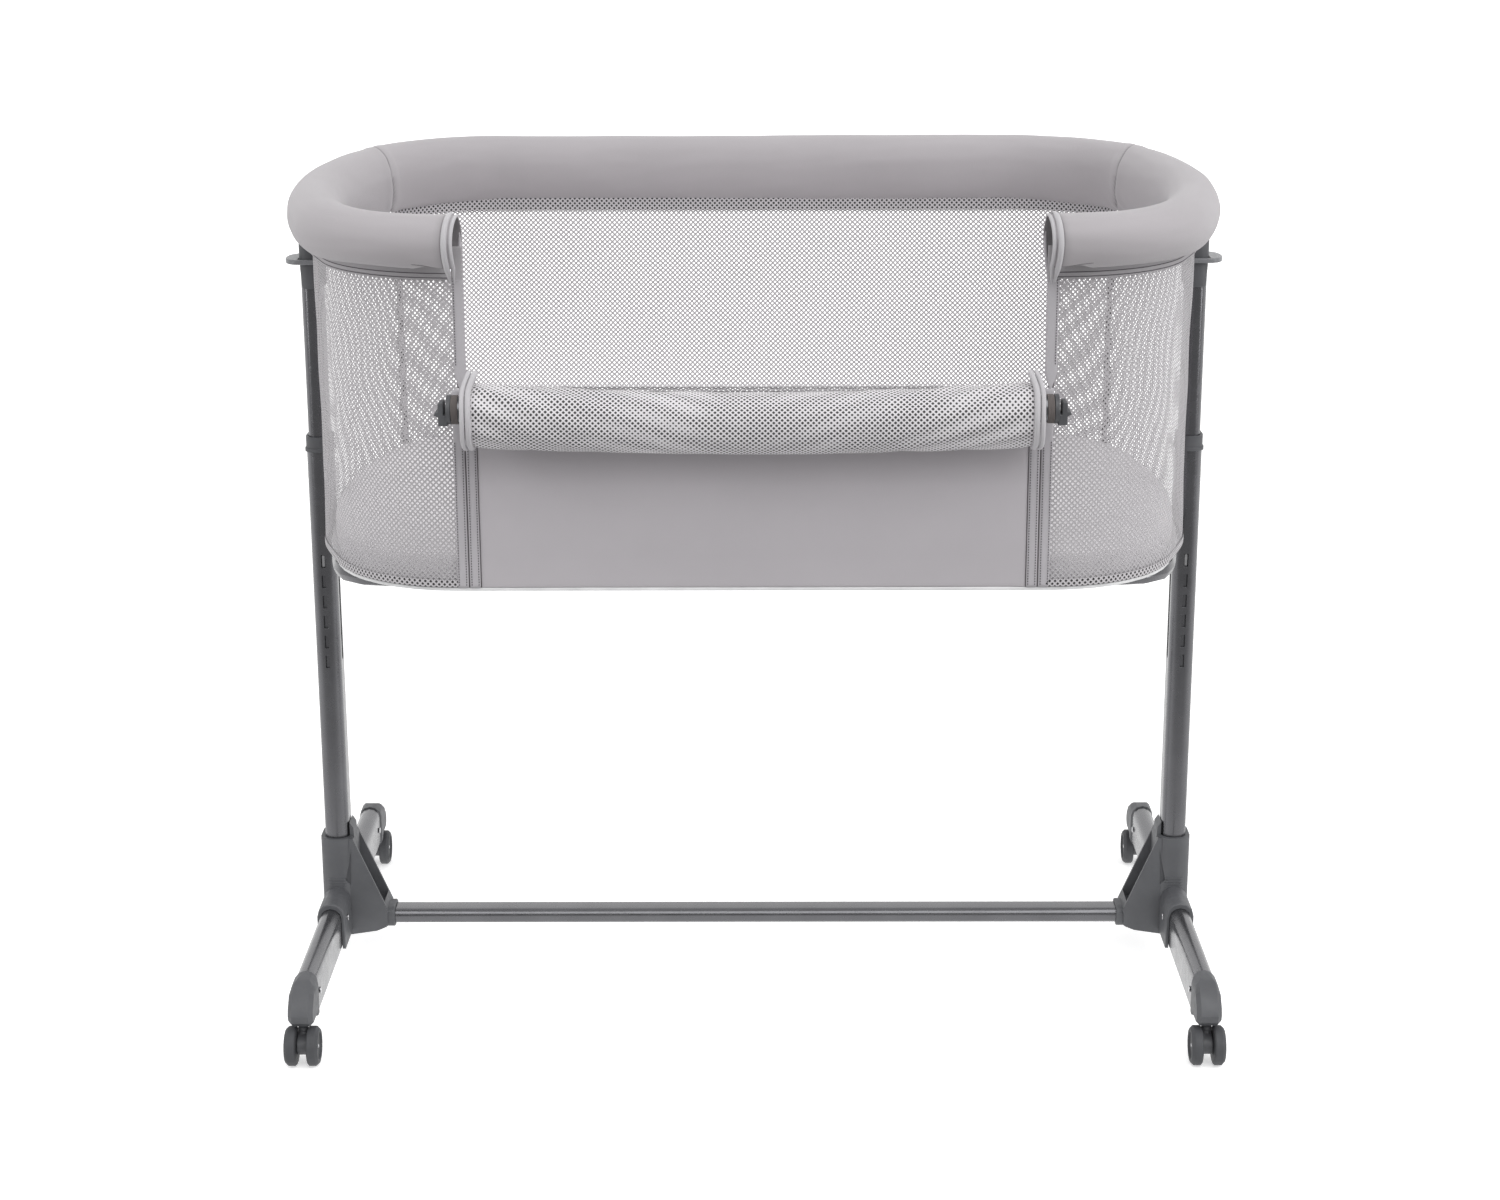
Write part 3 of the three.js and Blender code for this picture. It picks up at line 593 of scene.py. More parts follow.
# The lined and rolled nets have painted shade in their holes.
LINED_NET = net("mesh_fabric_lined", (196, 193, 196), 0.0038, 0.31, False, hole_shade=0.07)
ROLL_NET = net("mesh_fabric_rolled", (224, 221, 224), 0.00375, 0.33, False,
               round_bar=True, hole_shade=0.08)


def finish_piece(obj, material, replaced=(), body="bassinet"):
    """Gives a new piece its material and the body it moves with."""
    obj.data.materials.clear()
    obj.data.materials.append(material)
    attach(obj, body)
    if replaced:
        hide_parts(*replaced)


# -------- hard parts

FINISHES = (
    (METAL, ("cross_bar", "foot_tube", "lower_post", "upper_post", "base_tube", "drop_bar_tube",
             "rim_frame_tube")),
    (STEEL, ("screw", "lock_pin", "castor_axle", "base_bolt")),
    (TREAD, ("castor_wheel",)),
    (BOARD, ("base_board",)),
    (SATIN_AND_SHEEN, ("height_lever",)),
)
BEVELS = {"foot_bracket": 0.9, "foot_cap": 0.9, "post_housing": 0.8, "castor_fork": 0.5,
          "castor_wheel": 0.6, "base_board": 0.9, "height_lever": 0.5, "drop_bar_clip": 0.5}


def pick(node, choices, otherwise):
    """The first choice that has one of its words in the node's name."""
    return next((value for value, words in choices if any(word in node for word in words)), otherwise)


def dress_hard_parts():
    """Procedural finish and softened edges on every CAD node that stays in view."""
    for name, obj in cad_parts.items():
        obj.data.materials.clear()
        obj.data.materials.append(pick(name, FINISHES, PLASTIC))
        if "custom_normal" in obj.data.attributes:
            obj.data.attributes.remove(obj.data.attributes["custom_normal"])
        obj.data.shade_smooth()
        width = next((w for word, w in BEVELS.items() if word in name), 0.35)
        modify(obj, "WELD", merge_threshold=0.00001)
        bevel = modify(obj, "BEVEL", width=width * MM, segments=2, limit_method="ANGLE")
        bevel.angle_limit = radians(32)
        bevel.harden_normals = False
        modify(obj, "WEIGHTED_NORMAL", keep_sharp=True)


# -------- padded rim

SEAM_X = 408 * MM  # half the distance between the two rear seams of the rim
MESH_SEAM_X = 393 * MM  # and between the two seams of the mesh below them
RING_POINTS = 48
SKIRT = 17 * MM  # how much lower the jersey hangs on the inside of the rear
FLAP = 3 * MM  # how far the front of each open end hangs below the ring
LEAN = 7 * MM  # how far the front of each open end stops short of its back
FRONT_END = 490 * MM  # distance from the front middle up to which the pad is slimmer
SLIMMER = 0.13  # the share of its height that the pad loses there
LINER = 0.86  # size of the hollow inside a front end, as a share of the ring around it
LIP_DARK_LINE = 7.6 * MM  # how far behind the lip the jersey is darkened in a thin line
REAR_START = 640 * MM  # distance from the front middle at which the skirt begins


def lip_share(s):
    """1 at the lip of a front end, falling to 0 at the back of its pocket."""
    return clamp((POCKET_BACK_X - s) / (POCKET_BACK_X - PAD_END_X))


def lip_lean(s, angle):
    """The rim's front ends are cut at a slant: the outer side stops short of the inner side."""
    return LEAN * lip_share(s) * (0.5 + 0.5 * cos(angle))


def rim_point(s, angle, grow=0.0, size=1.0, skirt=0.0, flap=0.0):
    """A point on the pad's skin. grow moves it off the skin; skirt and flap let the lower edges hang."""
    base = RIM_PATH.at(s)
    out = RIM_PATH.outward(s)
    across = (PAD_HALF_WIDTH + grow) * size * cos(angle)
    slim = clamp((FRONT_END - min(s, RIM_PATH.length - s)) / (150 * MM))
    slim = slim * slim * (3 - 2 * slim) * SLIMMER * clamp((size - 0.82) / 0.15)
    height = (PAD_HALF_HEIGHT * (1 - slim) + grow) * size * sin(angle)
    inner = clamp((0.5 - 0.5 * cos(angle) - 0.3) / 0.4)
    height -= skirt * max(0.0, -sin(angle)) ** 1.5 * inner * inner * (3 - 2 * inner)
    if flap and cos(angle) > 0:
        height -= flap * clamp((-sin(angle) - 0.34) / 0.4) ** 1.5
    x, y = base + out * across
    return x, y, RIM_Z + height


def mouth(walk):
    """Half the angle of the slot under a front end; the slot closes behind the clip pocket."""
    return radians(42) * clamp((POCKET_BACK_X + 9 * MM - walk) / (24 * MM))


def rim_ring(s, scale, gap, seams):
    """One open ring of the pad: starts and ends at the underside, and runs over the top."""
    mirror = s > RIM_PATH.length / 2
    walk = RIM_PATH.length - s if mirror else s
    rear = clamp((walk - REAR_START) / (120 * MM))
    ring, shades = [], []
    for k in range(RING_POINTS + 1):
        t = k / RING_POINTS
        angle = -pi / 2 + gap + t * (TAU - 2 * gap)
        blend = min(1.0, min(t, 1 - t) / 0.08)
        size = 1 + (scale - 1) * blend
        around = Vector((s * 7, cos(angle) * 1.2, sin(angle) * 1.2))
        swell = MM * noise.noise(around) + 0.5 * MM * noise.noise(around * 3.1)
        shade = 0.0
        # Painted shade: the jersey inside the hollow front ends is darkened.
        if scale < LINER + 0.06:
            swell += 1.6 * MM * ripple(walk * 60, angle * 3.5, 2.0)
            shade = 0.7
        for seam in seams:
            turn = 18 * MM * cos(angle) * (1 if mirror else -1)
            drop = 18 * MM * max(0.0, -sin(angle)) * (-1 if mirror else 1)
            offset = s - seam + turn - drop
            swell -= 2.0 * MM * bell(offset, 1.7 * MM) - 0.8 * MM * bell(abs(offset) - 9 * MM, 7 * MM)
            low = max(0.0, -sin(angle)) ** 2
            swell += 1.5 * MM * low * bell(offset, 24 * MM) * sin(angle * 11 + offset * 240)
            # Painted shade along the groove of each rear seam.
            shade = max(shade, 0.85 * bell(offset, 1.2 * MM))
        # A thin dark line in the jersey's colour, just behind the lip's ribbon.
        if scale == 1.0:
            shade = max(shade, 0.75 * bell(walk - PAD_END_X - LIP_DARK_LINE, 0.8 * MM))
        lean = lip_lean(walk, angle)
        ring.append(rim_point(s - lean if mirror else s + lean, angle, swell, size,
                              SKIRT * rear, FLAP * lip_share(walk)))
        shades.append(shade)
    return ring, shades


def make_rim():
    """The jersey pad, one cloth from end to end. Its two front ends are hollow and open below."""
    total = RIM_PATH.length
    seam = rear_distance(RIM_PATH, SEAM_X)
    seams = (seam, total - seam)
    # Out of the hollow, round the lip, and back along the outside.
    stations = [(POCKET_BACK_X, 0.02), (POCKET_BACK_X, LINER * 0.6), (POCKET_BACK_X, LINER)]
    stations += [(POCKET_BACK_X - step * MM, LINER + 0.01) for step in (6, 12, 18, 24)]
    stations += [(PAD_END_X + step * MM, LINER + more) for step, more in (
        (12, 0.02), (5, 0.03), (1.5, 0.05), (0, 0.08))]
    stations += [(PAD_END_X + 0.6 * MM, 0.955), (PAD_END_X + 2.2 * MM, 0.985)]
    stations += [(PAD_END_X + step * MM, 1.0) for step in (5, 6.6, 7.6, 8.6, 14, 26, 34)]
    stations.append((POCKET_BACK_X, 1.0))
    stations = [(s, scale, mouth(s) if scale == 1.0 else mouth(PAD_END_X)) for s, scale in stations]
    walk = POCKET_BACK_X + 3 * MM
    while walk < total / 2:
        stations.append((walk, 1.0, mouth(walk)))
        near = min(abs(walk - s) for s in seams)
        walk += 1.0 * MM if near < 18 * MM else 2.5 * MM if near < 34 * MM else 6 * MM
    stations += [(total - s, scale, gap) for s, scale, gap in stations[::-1]]
    points, shades = [], []
    for s, scale, gap in stations:
        ring, ring_shades = rim_ring(s, scale, gap, seams)
        points += ring
        shades += ring_shades
    pad = new_mesh("rim_padding", points, grid_faces(len(stations), RING_POINTS + 1), shades=shades)
    weld(pad)
    modify(pad, "SUBSURF", levels=1, render_levels=1)
    finish_piece(pad, JERSEY, ["rim_pad"])


def make_hem():
    """Band of jersey that hangs under the pad and takes the mesh, with a stitched lower edge."""
    top = RIM_Z - PAD_HALF_HEIGHT + 12 * MM
    outer = rounded_profile(-2.0 * MM, 2.2 * MM, HEM_LOW, top, 0.9 * MM)
    run = band(WALL_PATH, OPENING_X, 260)
    hem = ribbon("rim_hem_band", WALL_PATH, run, outer, wobble=0.4 * MM)
    finish_piece(hem, HEM)
    lines = []
    for z in (HEM_LOW + 6.4 * MM, HEM_LOW + 2.2 * MM):
        line = [(*(WALL_PATH.at(s) + WALL_PATH.outward(s) * 2.3 * MM), z) for s in run]
        lines.append(tube(f"hem_line_{len(lines)}", line, 0.45 * MM, 6))
    seam = join("rim_hem_stitching", lines)
    finish_piece(seam, THREAD)


# -------- mesh wall

def make_wall():
    """The mesh cloth: one sheet from the right edge of the opening round to the left edge."""
    low, high = WALL_LOW.z + 0.5 * MM, WALL_HIGH.z - 2 * MM
    run = band(WALL_PATH, OPENING_X - 4 * MM, 320)
    rows = 24
    profile = [(-1.2 * MM * sin(pi * k / rows), low + (high - low) * k / rows) for k in range(rows + 1)]
    wall = ribbon("mesh_cloth_wall", WALL_PATH, run, profile, closed=False, wobble=1.6 * MM)
    finish_piece(wall, OPEN_NET, ["mesh_wall"])
    seam = rear_distance(WALL_PATH, MESH_SEAM_X)
    rear = np.linspace(seam, WALL_PATH.length - seam, 160)
    skirt_low = RIM_Z - PAD_HALF_HEIGHT - 11 * MM
    lined_band("mesh_hem_backing", rear, (-2.6, -2.8, -2.6), (skirt_low - 12 * MM, skirt_low + 2 * MM))
    lined_band("mesh_lower_hem", run, (1.0, 1.1, 0.9), (low, low + 7 * MM))
    # The seam strips use the lined net, with painted shade in its holes.
    for side, name in SIDES:
        distances = np.linspace(seam - 5 * MM, seam + 5 * MM, 7)
        if side < 0:
            distances = WALL_PATH.length - distances
        heights = np.linspace(MATTRESS_HIGH.z - 4 * MM, skirt_low, 40)
        strip = ribbon(f"{name}_mesh_seam_strip", WALL_PATH, distances,
                       [(-3.4 * MM, z) for z in heights], closed=False, wobble=0.5 * MM)
        finish_piece(strip, LINED_NET)


def lined_band(name, run, offsets, heights):
    """A narrow band of doubled mesh along the wall, whose holes are painted dark as shade."""
    levels = np.linspace(heights[0], heights[1], len(offsets))
    piece = ribbon(name, WALL_PATH, run, [(o * MM, z) for o, z in zip(offsets, levels)], closed=False)
    finish_piece(piece, LINED_NET)


# -------- front panel and tapes

def make_panel():
    """The plain front cloth, tight over the base, with a painted shadow under the roll and painted shade
    towards its lower edge.
    """
    columns, rows = 90, 36
    points, uvs, shades = [], [], []
    width = PANEL_HIGH.x - PANEL_LOW.x
    height = PANEL_HIGH.z - PANEL_LOW.z
    for i in range(rows + 1):
        for j in range(columns + 1):
            u, v = j / columns, i / rows
            x = PANEL_LOW.x + width * u
            z = PANEL_LOW.z + height * v
            edge = min(u, 1 - u) * width
            wave = 0.9 * MM * ripple(x * 6, z * 9, 1.5)
            wave += 0.35 * MM * ripple(x * 30, z * 16, 4.5)
            wave *= min(1.0, edge / (30 * MM))
            points.append((x, PANEL_LOW.y + MM + wave, z))
            uvs.append((x, z))
            # Painted shadow under the roll, and painted shade growing towards the lower edge.
            roll_shadow_share = 1 - clamp((PANEL_HIGH.z - z - 20 * MM) / (46 * MM))
            low_shade_share = clamp((0.65 - v) / 0.45)
            shades.append(max(0.2 * roll_shadow_share, 0.17 * low_shade_share))
    panel = new_mesh("front_cloth_panel", points, grid_faces(rows + 1, columns + 1), uvs, shades)
    modify(panel, "SOLIDIFY", thickness=1.6 * MM, offset=-1)
    apply_modifiers(panel)
    modify(panel, "BEVEL", width=0.5 * MM, segments=2, limit_method="ANGLE")
    finish_piece(panel, PANEL, ["front_panel"])


def flat_strip(name, edges, z_low, z_high, front, thickness, rows=60, taper=0.0):
    """A straight vertical tape with rounded edges; taper draws its lower end in to a point."""
    x_low, x_high = edges
    centre = (x_low + x_high) / 2
    points = []
    profile = 10
    for i in range(rows + 1):
        z = z_low + (z_high - z_low) * (i / rows)
        drawn = 1.0
        if taper > 0:
            drawn = min(1.0, 0.12 + 0.88 * (z - z_low) / taper)
        half = (x_high - x_low) / 2 * drawn
        wave = 0.35 * MM * ripple(x_low * 90, z * 22, 6.0)
        for k in range(profile):
            a = TAU * k / profile
            c, s = cos(a), sin(a)
            bulge = abs(c) ** 0.4 * math.copysign(1, c)
            points.append((centre + half * bulge, front + thickness / 2 + wave + thickness / 2 * s, z))
    faces = grid_faces(rows + 1, profile, close_columns=True)
    faces.append(tuple(range(profile))[::-1])
    faces.append(tuple(range(rows * profile, (rows + 1) * profile)))
    return new_mesh(name, points, faces)


def stitch_row(name, x, z_low, z_high, front, pitch=2.6 * MM, length=1.7 * MM, radius=0.5 * MM):
    """A vertical row of short raised stitches, each a small six-sided barrel."""
    points, faces = [], []
    rings = ((0, 0.35), (0.25, 1), (0.75, 1), (1, 0.35))
    sides = 6
    z = z_low
    while z + length < z_high:
        base = len(points)
        for along, size in rings:
            for q in range(sides):
                a = TAU * q / sides
                r = radius * size
                points.append((x + r * cos(a), front + r * (sin(a) - 0.4), z + length * along))
        for f in grid_faces(len(rings), sides, close_columns=True):
            faces.append(tuple(base + v for v in f))
        faces.append(tuple(base + v for v in range(sides))[::-1])
        faces.append(tuple(base + (len(rings) - 1) * sides + v for v in range(sides)))
        z += pitch
    return new_mesh(name, points, faces)


LOWER_TAPES = ((259.2, 269.3), (270.5, 281.0))  # inner and outer edge, in millimetres from the middle
UPPER_TAPE = (266.7, 277.9)
LOWER_TAPE_TOP = 689 * MM
STITCHES_TOP = 640 * MM  # at rest the roll hides the tapes above this


def upper_shift(side):
    """The upper edge tape on the right sits this much further to the right than its mirror image."""
    return 5 * MM if side > 0 else 0.0


def upper_edges(side):
    return mirrored(side, *UPPER_TAPE, upper_shift(side))


def make_tapes():
    """Each side of the opening: two zip tapes low down, one edge tape above, dark gaps of painted shade
    and stitches.
    """
    front = TAPE_LOW.y
    low = TAPE_LOW.z
    for side, name in SIDES:
        shift = upper_shift(side)
        parts = []
        for index, edges in enumerate(LOWER_TAPES):
            parts.append(flat_strip(f"{name}_tape_{index}", mirrored(side, *edges), low, LOWER_TAPE_TOP,
                                    front + 0.4 * MM, 1.5 * MM))
        parts.append(flat_strip(f"{name}_tape_upper", upper_edges(side), LOWER_TAPE_TOP - 1 * MM, HEM_LOW,
                                front + 0.6 * MM, 1.5 * MM, taper=15 * MM))
        tape = join(f"{name}_edge_tapes", parts)
        finish_piece(tape, TAPE, [f"{name}_zip_tape"])
        # Painted shade: dark cloth strips stand for the shadow in the gaps by the tapes.
        gaps = []
        for inner, outer, z_low, z_high, move in (
            (269.1, 270.7, low, 668 * MM, 0.0),
            (258.3, 259.5, low, 660 * MM, 0.0),
            (270.2, 275.6, 690 * MM, 704 * MM, shift),
        ):
            gaps.append(flat_strip(f"{name}_gap_{inner}", mirrored(side, inner, outer, move),
                                   z_low, z_high, front + 1.3 * MM, 1.0 * MM, rows=20))
        gap = join(f"{name}_zip_gap", gaps)
        finish_piece(gap, SHADOW_CLOTH)
        rows = []
        for x in (260.7, 267.5, 272.5, 279.6):
            rows.append(stitch_row(f"{name}_row_{x}", side * x * MM, low + 2 * MM, STITCHES_TOP,
                                   front + 0.4 * MM))
        rows.append(stitch_row(f"{name}_row_up", side * 276.2 * MM + shift, 712 * MM, 795 * MM,
                               front + 0.6 * MM))
        stitches = join(f"{name}_tape_stitches", rows)
        finish_piece(stitches, THREAD)


def make_lip_piping(side, name):
    """A flat ribbon and a round zip edge that follow the slanted lip of a front end of the rim."""
    parts = []
    for index, (back, grow, thick) in enumerate(((3.9, 0.3, 2.8), (-1.3, -1.4, 2.0))):
        line = []
        for k in range(34):
            angle = radians(112 - 160 * k / 33)
            s = PAD_END_X + lip_lean(PAD_END_X, angle) + back * MM
            x, y, z = rim_point(s, angle, grow * MM, flap=FLAP)
            line.append((side * x, y, z))
        tail = Vector(line[-1])
        goal = Vector((side * (278.0 - 3.2 * index) * MM, TAPE_LOW.y - 1.4 * MM, 789 * MM))
        for k in range(1, 11):
            line.append(tail.lerp(goal, k / 10))
        radii = [thick * MM] * len(line)
        for k in range(9):
            radii[-1 - k] = (0.6 + (thick - 0.6) * k / 9) * MM
            radii[k] = (0.8 + (thick - 0.8) * k / 9) * MM
        parts.append(tube(f"{name}_piping_{index}", line, radii, 12))
    piping = join(f"{name}_stub_piping", parts)
    modify(piping, "SUBSURF", levels=1, render_levels=1)
    finish_piece(piping, PIPING)


def make_lip_fold(side, name):
    """The cloth's folded edge on the inner side of the lip, down to the top of the edge tape."""
    line = []
    for k in range(20):
        angle = radians(168 + 62 * k / 19)
        x, y, z = rim_point(PAD_END_X + 2.5 * MM, angle, -2.0 * MM)
        line.append((side * x, y, z))
    tail = Vector(line[-1])
    goal = Vector((side * 272.5 * MM, TAPE_LOW.y + 1 * MM, 790 * MM))
    line += [tail.lerp(goal, k / 8) for k in range(1, 9)]
    last = len(line) - 1
    radii = [(0.8 + 1.0 * sin(pi * k / last)) * MM for k in range(last + 1)]
    finish_piece(tube(f"{name}_stub_fold", line, radii, 10), TAPE)


def make_lip_facing(side, name):
    """The strip of jersey behind the lip that the edge tape is sewn to."""
    facing = flat_strip(f"{name}_stub_facing", upper_edges(side), 787 * MM, 823 * MM,
                        TAPE_LOW.y + 0.8 * MM, 1.5 * MM, rows=20)
    finish_piece(facing, HEM)


# -------- mattress

QUILT = 130 * MM  # pitch of the mattress's shallow dimples


def make_mattress():
    """Thin quilted pad with a soft rounded edge and shallow dimples."""
    path = Path(plan(430.5, 269, 126, 606))
    low, high = MATTRESS_LOW.z, MATTRESS_HIGH.z
    rings = ((6, low), (1.5, low + 3 * MM), (0, low + 9 * MM), (0, high - 9 * MM),
             (1.5, high - 3.5 * MM), (5, high - 0.8 * MM))
    count = 240
    distances = np.linspace(0, path.length, count, endpoint=False)
    points = []
    for inset, z in rings:
        for s in distances:
            x, y = path.at(s) - path.outward(s) * (inset * MM)
            points.append((x, y, z))
    faces = grid_faces(len(rings), count, close_columns=True)
    steps = 26
    centre = np.array([0.0, CENTRE_Y])
    for level in (len(rings) - 1, 0):
        start = len(points)
        rim = [np.array(points[level * count + j][:2]) for j in range(count)]
        for i in range(1, steps + 1):
            t = 1 - i / steps
            for j in range(count):
                x, y = centre + (rim[j] - centre) * max(t, 0.002)
                lift = 0.0
                if level:
                    dimple = 1.2 * MM * sin(x * TAU / QUILT) * sin(y * TAU / QUILT)
                    lift = dimple * min(1.0, (1 - t) * 5) - 0.2 * MM
                points.append((x, y, rings[level][1] + lift))
        ring_faces = grid_faces(steps, count, close_columns=True)
        faces += [tuple(start + v for v in f) for f in ring_faces]
        for j in range(count):
            a, b = level * count + j, level * count + (j + 1) % count
            faces.append((a, b, start + (j + 1) % count, start + j))
    pad = weld(new_mesh("mattress_pad", points, faces), 0.0005)
    finish_piece(pad, COVER, ["mattress"])


# -------- drop side

SAG = 9.5 * MM  # how much lower the middle of the roll hangs than its ends
ROLL_END_SWELL = 1.8 * MM  # how much thicker the roll is at its ends
ROLL_Z = ROLL_CENTRE.z + MM


def sag_at(x):
    reach = (ROLL_HIGH.x - ROLL_LOW.x) / 2
    return -SAG * (1 - (x / reach) ** 2)


def make_roll():
    """The mesh-wrapped pad round the drop bar: swelled by simulation, then wrinkled and sagged."""
    half = (ROLL_HIGH.x - ROLL_LOW.x) / 2 - 3 * MM
    columns, sides = 110, 40
    points = []
    for i in range(columns + 1):
        t = -1 + 2 * i / columns
        close = min(1.0, (1 - abs(t)) * half / (10 * MM))
        radius = (ROLL_SKIN - 1.6 * MM) * (0.86 + 0.14 * math.sqrt(close))
        radius += ROLL_END_SWELL * bell((1 - abs(t)) * half, 90 * MM)
        for k in range(sides):
            a = TAU * k / sides
            points.append((half * t, ROLL_CENTRE.y + radius * cos(a), ROLL_Z + radius * sin(a)))
    faces = grid_faces(columns + 1, sides, close_columns=True)
    faces.append(tuple(range(sides))[::-1])
    faces.append(tuple(range(columns * sides, (columns + 1) * sides)))
    roll = new_mesh("drop_bar_padding", points, faces)
    inflate(roll, 6 * MM, 2.2 * MM, lambda p: 1.0 if abs(p.x) > half - 8 * MM else 0.0)

    def wrinkle(p):
        turn = math.atan2(p.z - ROLL_Z, ROLL_CENTRE.y - p.y) * ROLL_SKIN
        near_end = bell(half - abs(p.x), 130 * MM)
        drift = 2.5 * ripple(p.x * 8, turn * 14, 2)
        phase = (turn - FOLD_SLOPE * abs(p.x)) * FOLD_RATE + drift
        mask = 0.55 + 0.8 * ripple(p.x * 9, turn * 12, 7)
        fold = (0.35 + near_end) * max(0.0, mask) * sin(phase)
        slow = ripple(p.x * 12, turn * 20, 5)
        ends = clamp((half - abs(p.x)) / (20 * MM))
        return ends * (1.5 * MM * fold + 0.8 * MM * slow - 0.6 * MM)

    push(roll, wrinkle)
    for vertex in roll.data.vertices:
        upper = (vertex.co.z - ROLL_Z) / ROLL_SKIN
        vertex.co.z += sag_at(vertex.co.x) * (0.875 - 0.125 * upper)
    roll.data.update()
    modify(roll, "SUBSURF", levels=1, render_levels=1)
    finish_piece(roll, ROLL_NET, ["drop_bar_roll"], "drop_bar")


def make_roll_piping():
    """Two round zip edges at each end of the roll; they rise above it as a small loop."""
    for side, name in SIDES:
        parts = []
        for index, (x, thick) in enumerate(((264.3, 2.3), (258.9, 3.0))):
            line = []
            count = 48
            for k in range(count):
                angle = TAU * k / count
                top = bell(sin((angle - pi / 2) / 2), 0.2)
                bottom = bell(sin((angle + pi / 2) / 2), 0.25)
                radius = ROLL_SKIN + ROLL_END_SWELL - thick * MM + 1.4 * MM
                reach = x + 1.2 * sin(angle) ** 2 - 6.0 * top - 2.0 * bottom
                line.append((side * reach * MM,
                             ROLL_CENTRE.y + radius * cos(angle),
                             ROLL_Z + radius * sin(angle) + 9.0 * MM * top))
            parts.append(tube(f"{name}_roll_piping_{index}", line, thick * MM, 10, closed=True))
        piping = join(f"{name}_roll_piping", parts)
        modify(piping, "SUBSURF", levels=1, render_levels=1)
        finish_piece(piping, PIPING, body="drop_bar")


def make_bar_wraps():
    """Cord wound round the bar between the roll and each clip."""
    bar = middle("drop_bar_tube")
    radius = 12.9 * MM
    turns, steps = 5, 26
    for side, name in SIDES:
        low, high = mirrored(side, 270.4, 276.4)
        line = []
        for k in range(turns * steps + 1):
            angle = TAU * k / steps
            x = low + (high - low) * k / (turns * steps)
            line.append((x, bar.y + radius * cos(angle), bar.z + radius * sin(angle)))
        wrap = tube(f"{name}_bar_wrap", line, 0.75 * MM, 8)
        finish_piece(wrap, WRAP, body="drop_bar")


def make_gather():
    """The spare mesh folded behind the roll."""
    low = PANEL_HIGH.z - 4 * MM
    high = ROLL_Z + 20 * MM
    folds = 22
    rows = folds * 6
    columns = 60
    half = 270 * MM
    depth = 4.2 * MM
    points, uvs = [], []
    run = 0.0
    previous = None
    for i in range(rows + 1):
        t = i / rows
        z = low + (high - low) * t
        y = PANEL_LOW.y - 4.6 * MM + depth * sin(pi * t * folds)
        if previous is not None:
            run += math.dist(previous, (y, z))
        previous = (y, z)
        for j in range(columns + 1):
            x = -half + 2 * half * j / columns
            points.append((x, y + 0.3 * MM * ripple(x * 20, z * 40, 1), z))
            uvs.append((x, run))
    cloth_piece = new_mesh("gathered_mesh", points, grid_faces(rows + 1, columns + 1), uvs)
    cloth_piece.data.materials.append(OPEN_NET)
    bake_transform(cloth_piece)


# -------- studio

WHITE = (1, 1, 1, 1)


def fade_along_y(tree, vector, numbers):
    """A value that follows the Y part of a vector; numbers are from low, from high, to low, to high."""
    parts = tree.nodes.new("ShaderNodeSeparateXYZ")
    slope = tree.nodes.new("ShaderNodeMapRange")
    for socket, number in zip(slope.inputs[1:5], numbers):
        socket.default_value = number
    tree.links.new(vector, parts.inputs[0])
    tree.links.new(parts.outputs["Y"], slope.inputs[0])
    return slope.outputs[0]


def split_rays(tree, lighting, backdrop, target):
    """The camera sees the backdrop shader; every other ray is lit by the lighting shader."""
    rays = tree.nodes.new("ShaderNodeLightPath")
    mixer = tree.nodes.new("ShaderNodeMixShader")
    tree.links.new(rays.outputs["Is Camera Ray"], mixer.inputs[0])
    tree.links.new(lighting, mixer.inputs[1])
    tree.links.new(backdrop, mixer.inputs[2])
    tree.links.new(mixer.outputs[0], target)


def make_world():
    """White to the camera, and dimmer light from the front than from behind."""
    world = bpy.data.worlds.new("studio")
    SCENE.world = world
    world.use_nodes = True
    tree = world.node_tree
    background = tree.nodes["Background"]
    background.inputs["Color"].default_value = WHITE
    direction = tree.nodes.new("ShaderNodeTexCoord")
    strength = fade_along_y(tree, direction.outputs["Generated"], (-0.9, 0.6, 0.28, 1.0))
    tree.links.new(strength, background.inputs["Strength"])
    bright = tree.nodes.new("ShaderNodeBackground")
    bright.inputs["Color"].default_value = WHITE
    bright.inputs["Strength"].default_value = 1.1
    split_rays(tree, background.outputs[0], bright.outputs[0], tree.nodes["World Output"].inputs[0])


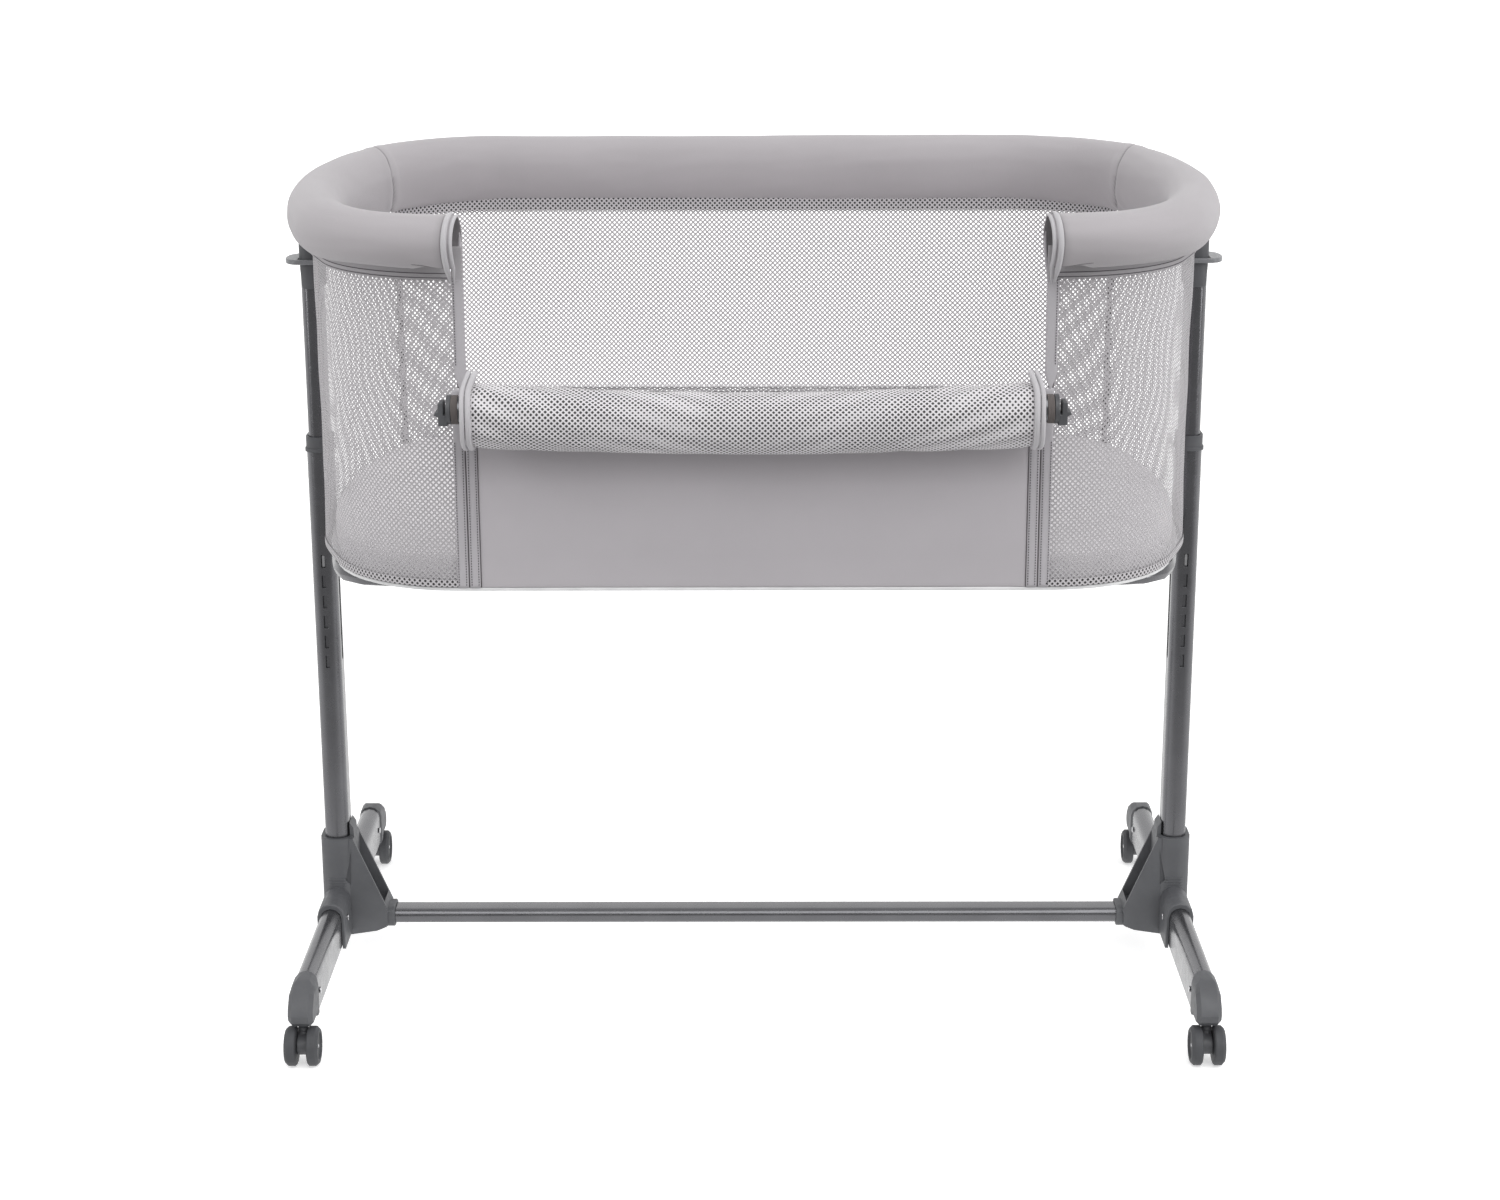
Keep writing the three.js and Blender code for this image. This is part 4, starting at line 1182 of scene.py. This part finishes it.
def make_floor():
    """A white floor; the light that it throws back fades towards the front."""
    size = 60.0
    floor = new_mesh("floor", [(-size, -size, 0), (size, -size, 0), (size, size, 0), (-size, size, 0)],
                     [(0, 1, 2, 3)])
    look = Look("pale_floor", (252, 252, 252), 0.8, Emission_Strength=0.42)
    look.shader.inputs["Emission Color"].default_value = WHITE
    look.paint(look.mix(look.noise(3, 2), linear(250, 250, 250), linear(254, 254, 254)))
    tree = look.material.node_tree
    dim = tree.nodes.new("ShaderNodeEmission")
    place = tree.nodes.new("ShaderNodeNewGeometry")
    strength = fade_along_y(tree, place.outputs["Position"], (-1.0, -0.2, 0.34, 1.1))
    tree.links.new(strength, dim.inputs["Strength"])
    split_rays(tree, dim.outputs[0], look.shader.outputs[0], tree.nodes["Material Output"].inputs[0])
    floor.data.materials.append(look.material)


def lamp(name, kind, energy, location, target, **values):
    data = bpy.data.lights.new(name, kind)
    data.energy = energy
    for key, value in values.items():
        setattr(data, key, value)
    obj = bpy.data.objects.new(name, data)
    obj.location = location
    aim = Vector(target) - Vector(location)
    obj.rotation_mode = "QUATERNION"
    obj.rotation_quaternion = aim.to_track_quat("-Z", "Y")
    SCENE.collection.objects.link(obj)


def make_camera():
    """The camera as worked out from the straight posts, feet and rim."""
    data = bpy.data.cameras.new("camera")
    data.lens = 66.46
    data.shift_x = -0.0022
    camera = bpy.data.objects.new("camera", data)
    camera.matrix_world = (
        Matrix.Translation((0.0116, -2.8073 + CENTRE_Y, 1.2217))
        @ Matrix.Rotation(0.0046, 4, "Z")
        @ Matrix.Rotation(pi / 2 - 0.2833, 4, "X")
        @ Matrix.Rotation(-0.0028, 4, "Z")
    )
    SCENE.collection.objects.link(camera)
    SCENE.camera = camera


SCENE.view_settings.view_transform = "Standard"
make_world()
make_floor()
lamp("sky_key", "SUN", 1.6, (0.9, -2.5, 3.3), (0, 0, 0.4), angle=radians(60))
for strip_side, strip_name, strip_y in ((-1, "left_strip", -1.4), (1, "right_strip", -1.2)):
    lamp(strip_name, "AREA", 16, (strip_side * 2.4, strip_y, 1.3), (0, 0, 0.5),
         shape="RECTANGLE", size=0.5, size_y=2.2)
make_camera()
dress_hard_parts()
make_rim()
make_hem()
make_wall()
make_panel()
make_tapes()
for lip_side, lip_name in SIDES:
    make_lip_piping(lip_side, lip_name)
    make_lip_fold(lip_side, lip_name)
    make_lip_facing(lip_side, lip_name)
make_mattress()
make_roll()
make_roll_piping()
make_bar_wraps()
make_gather()
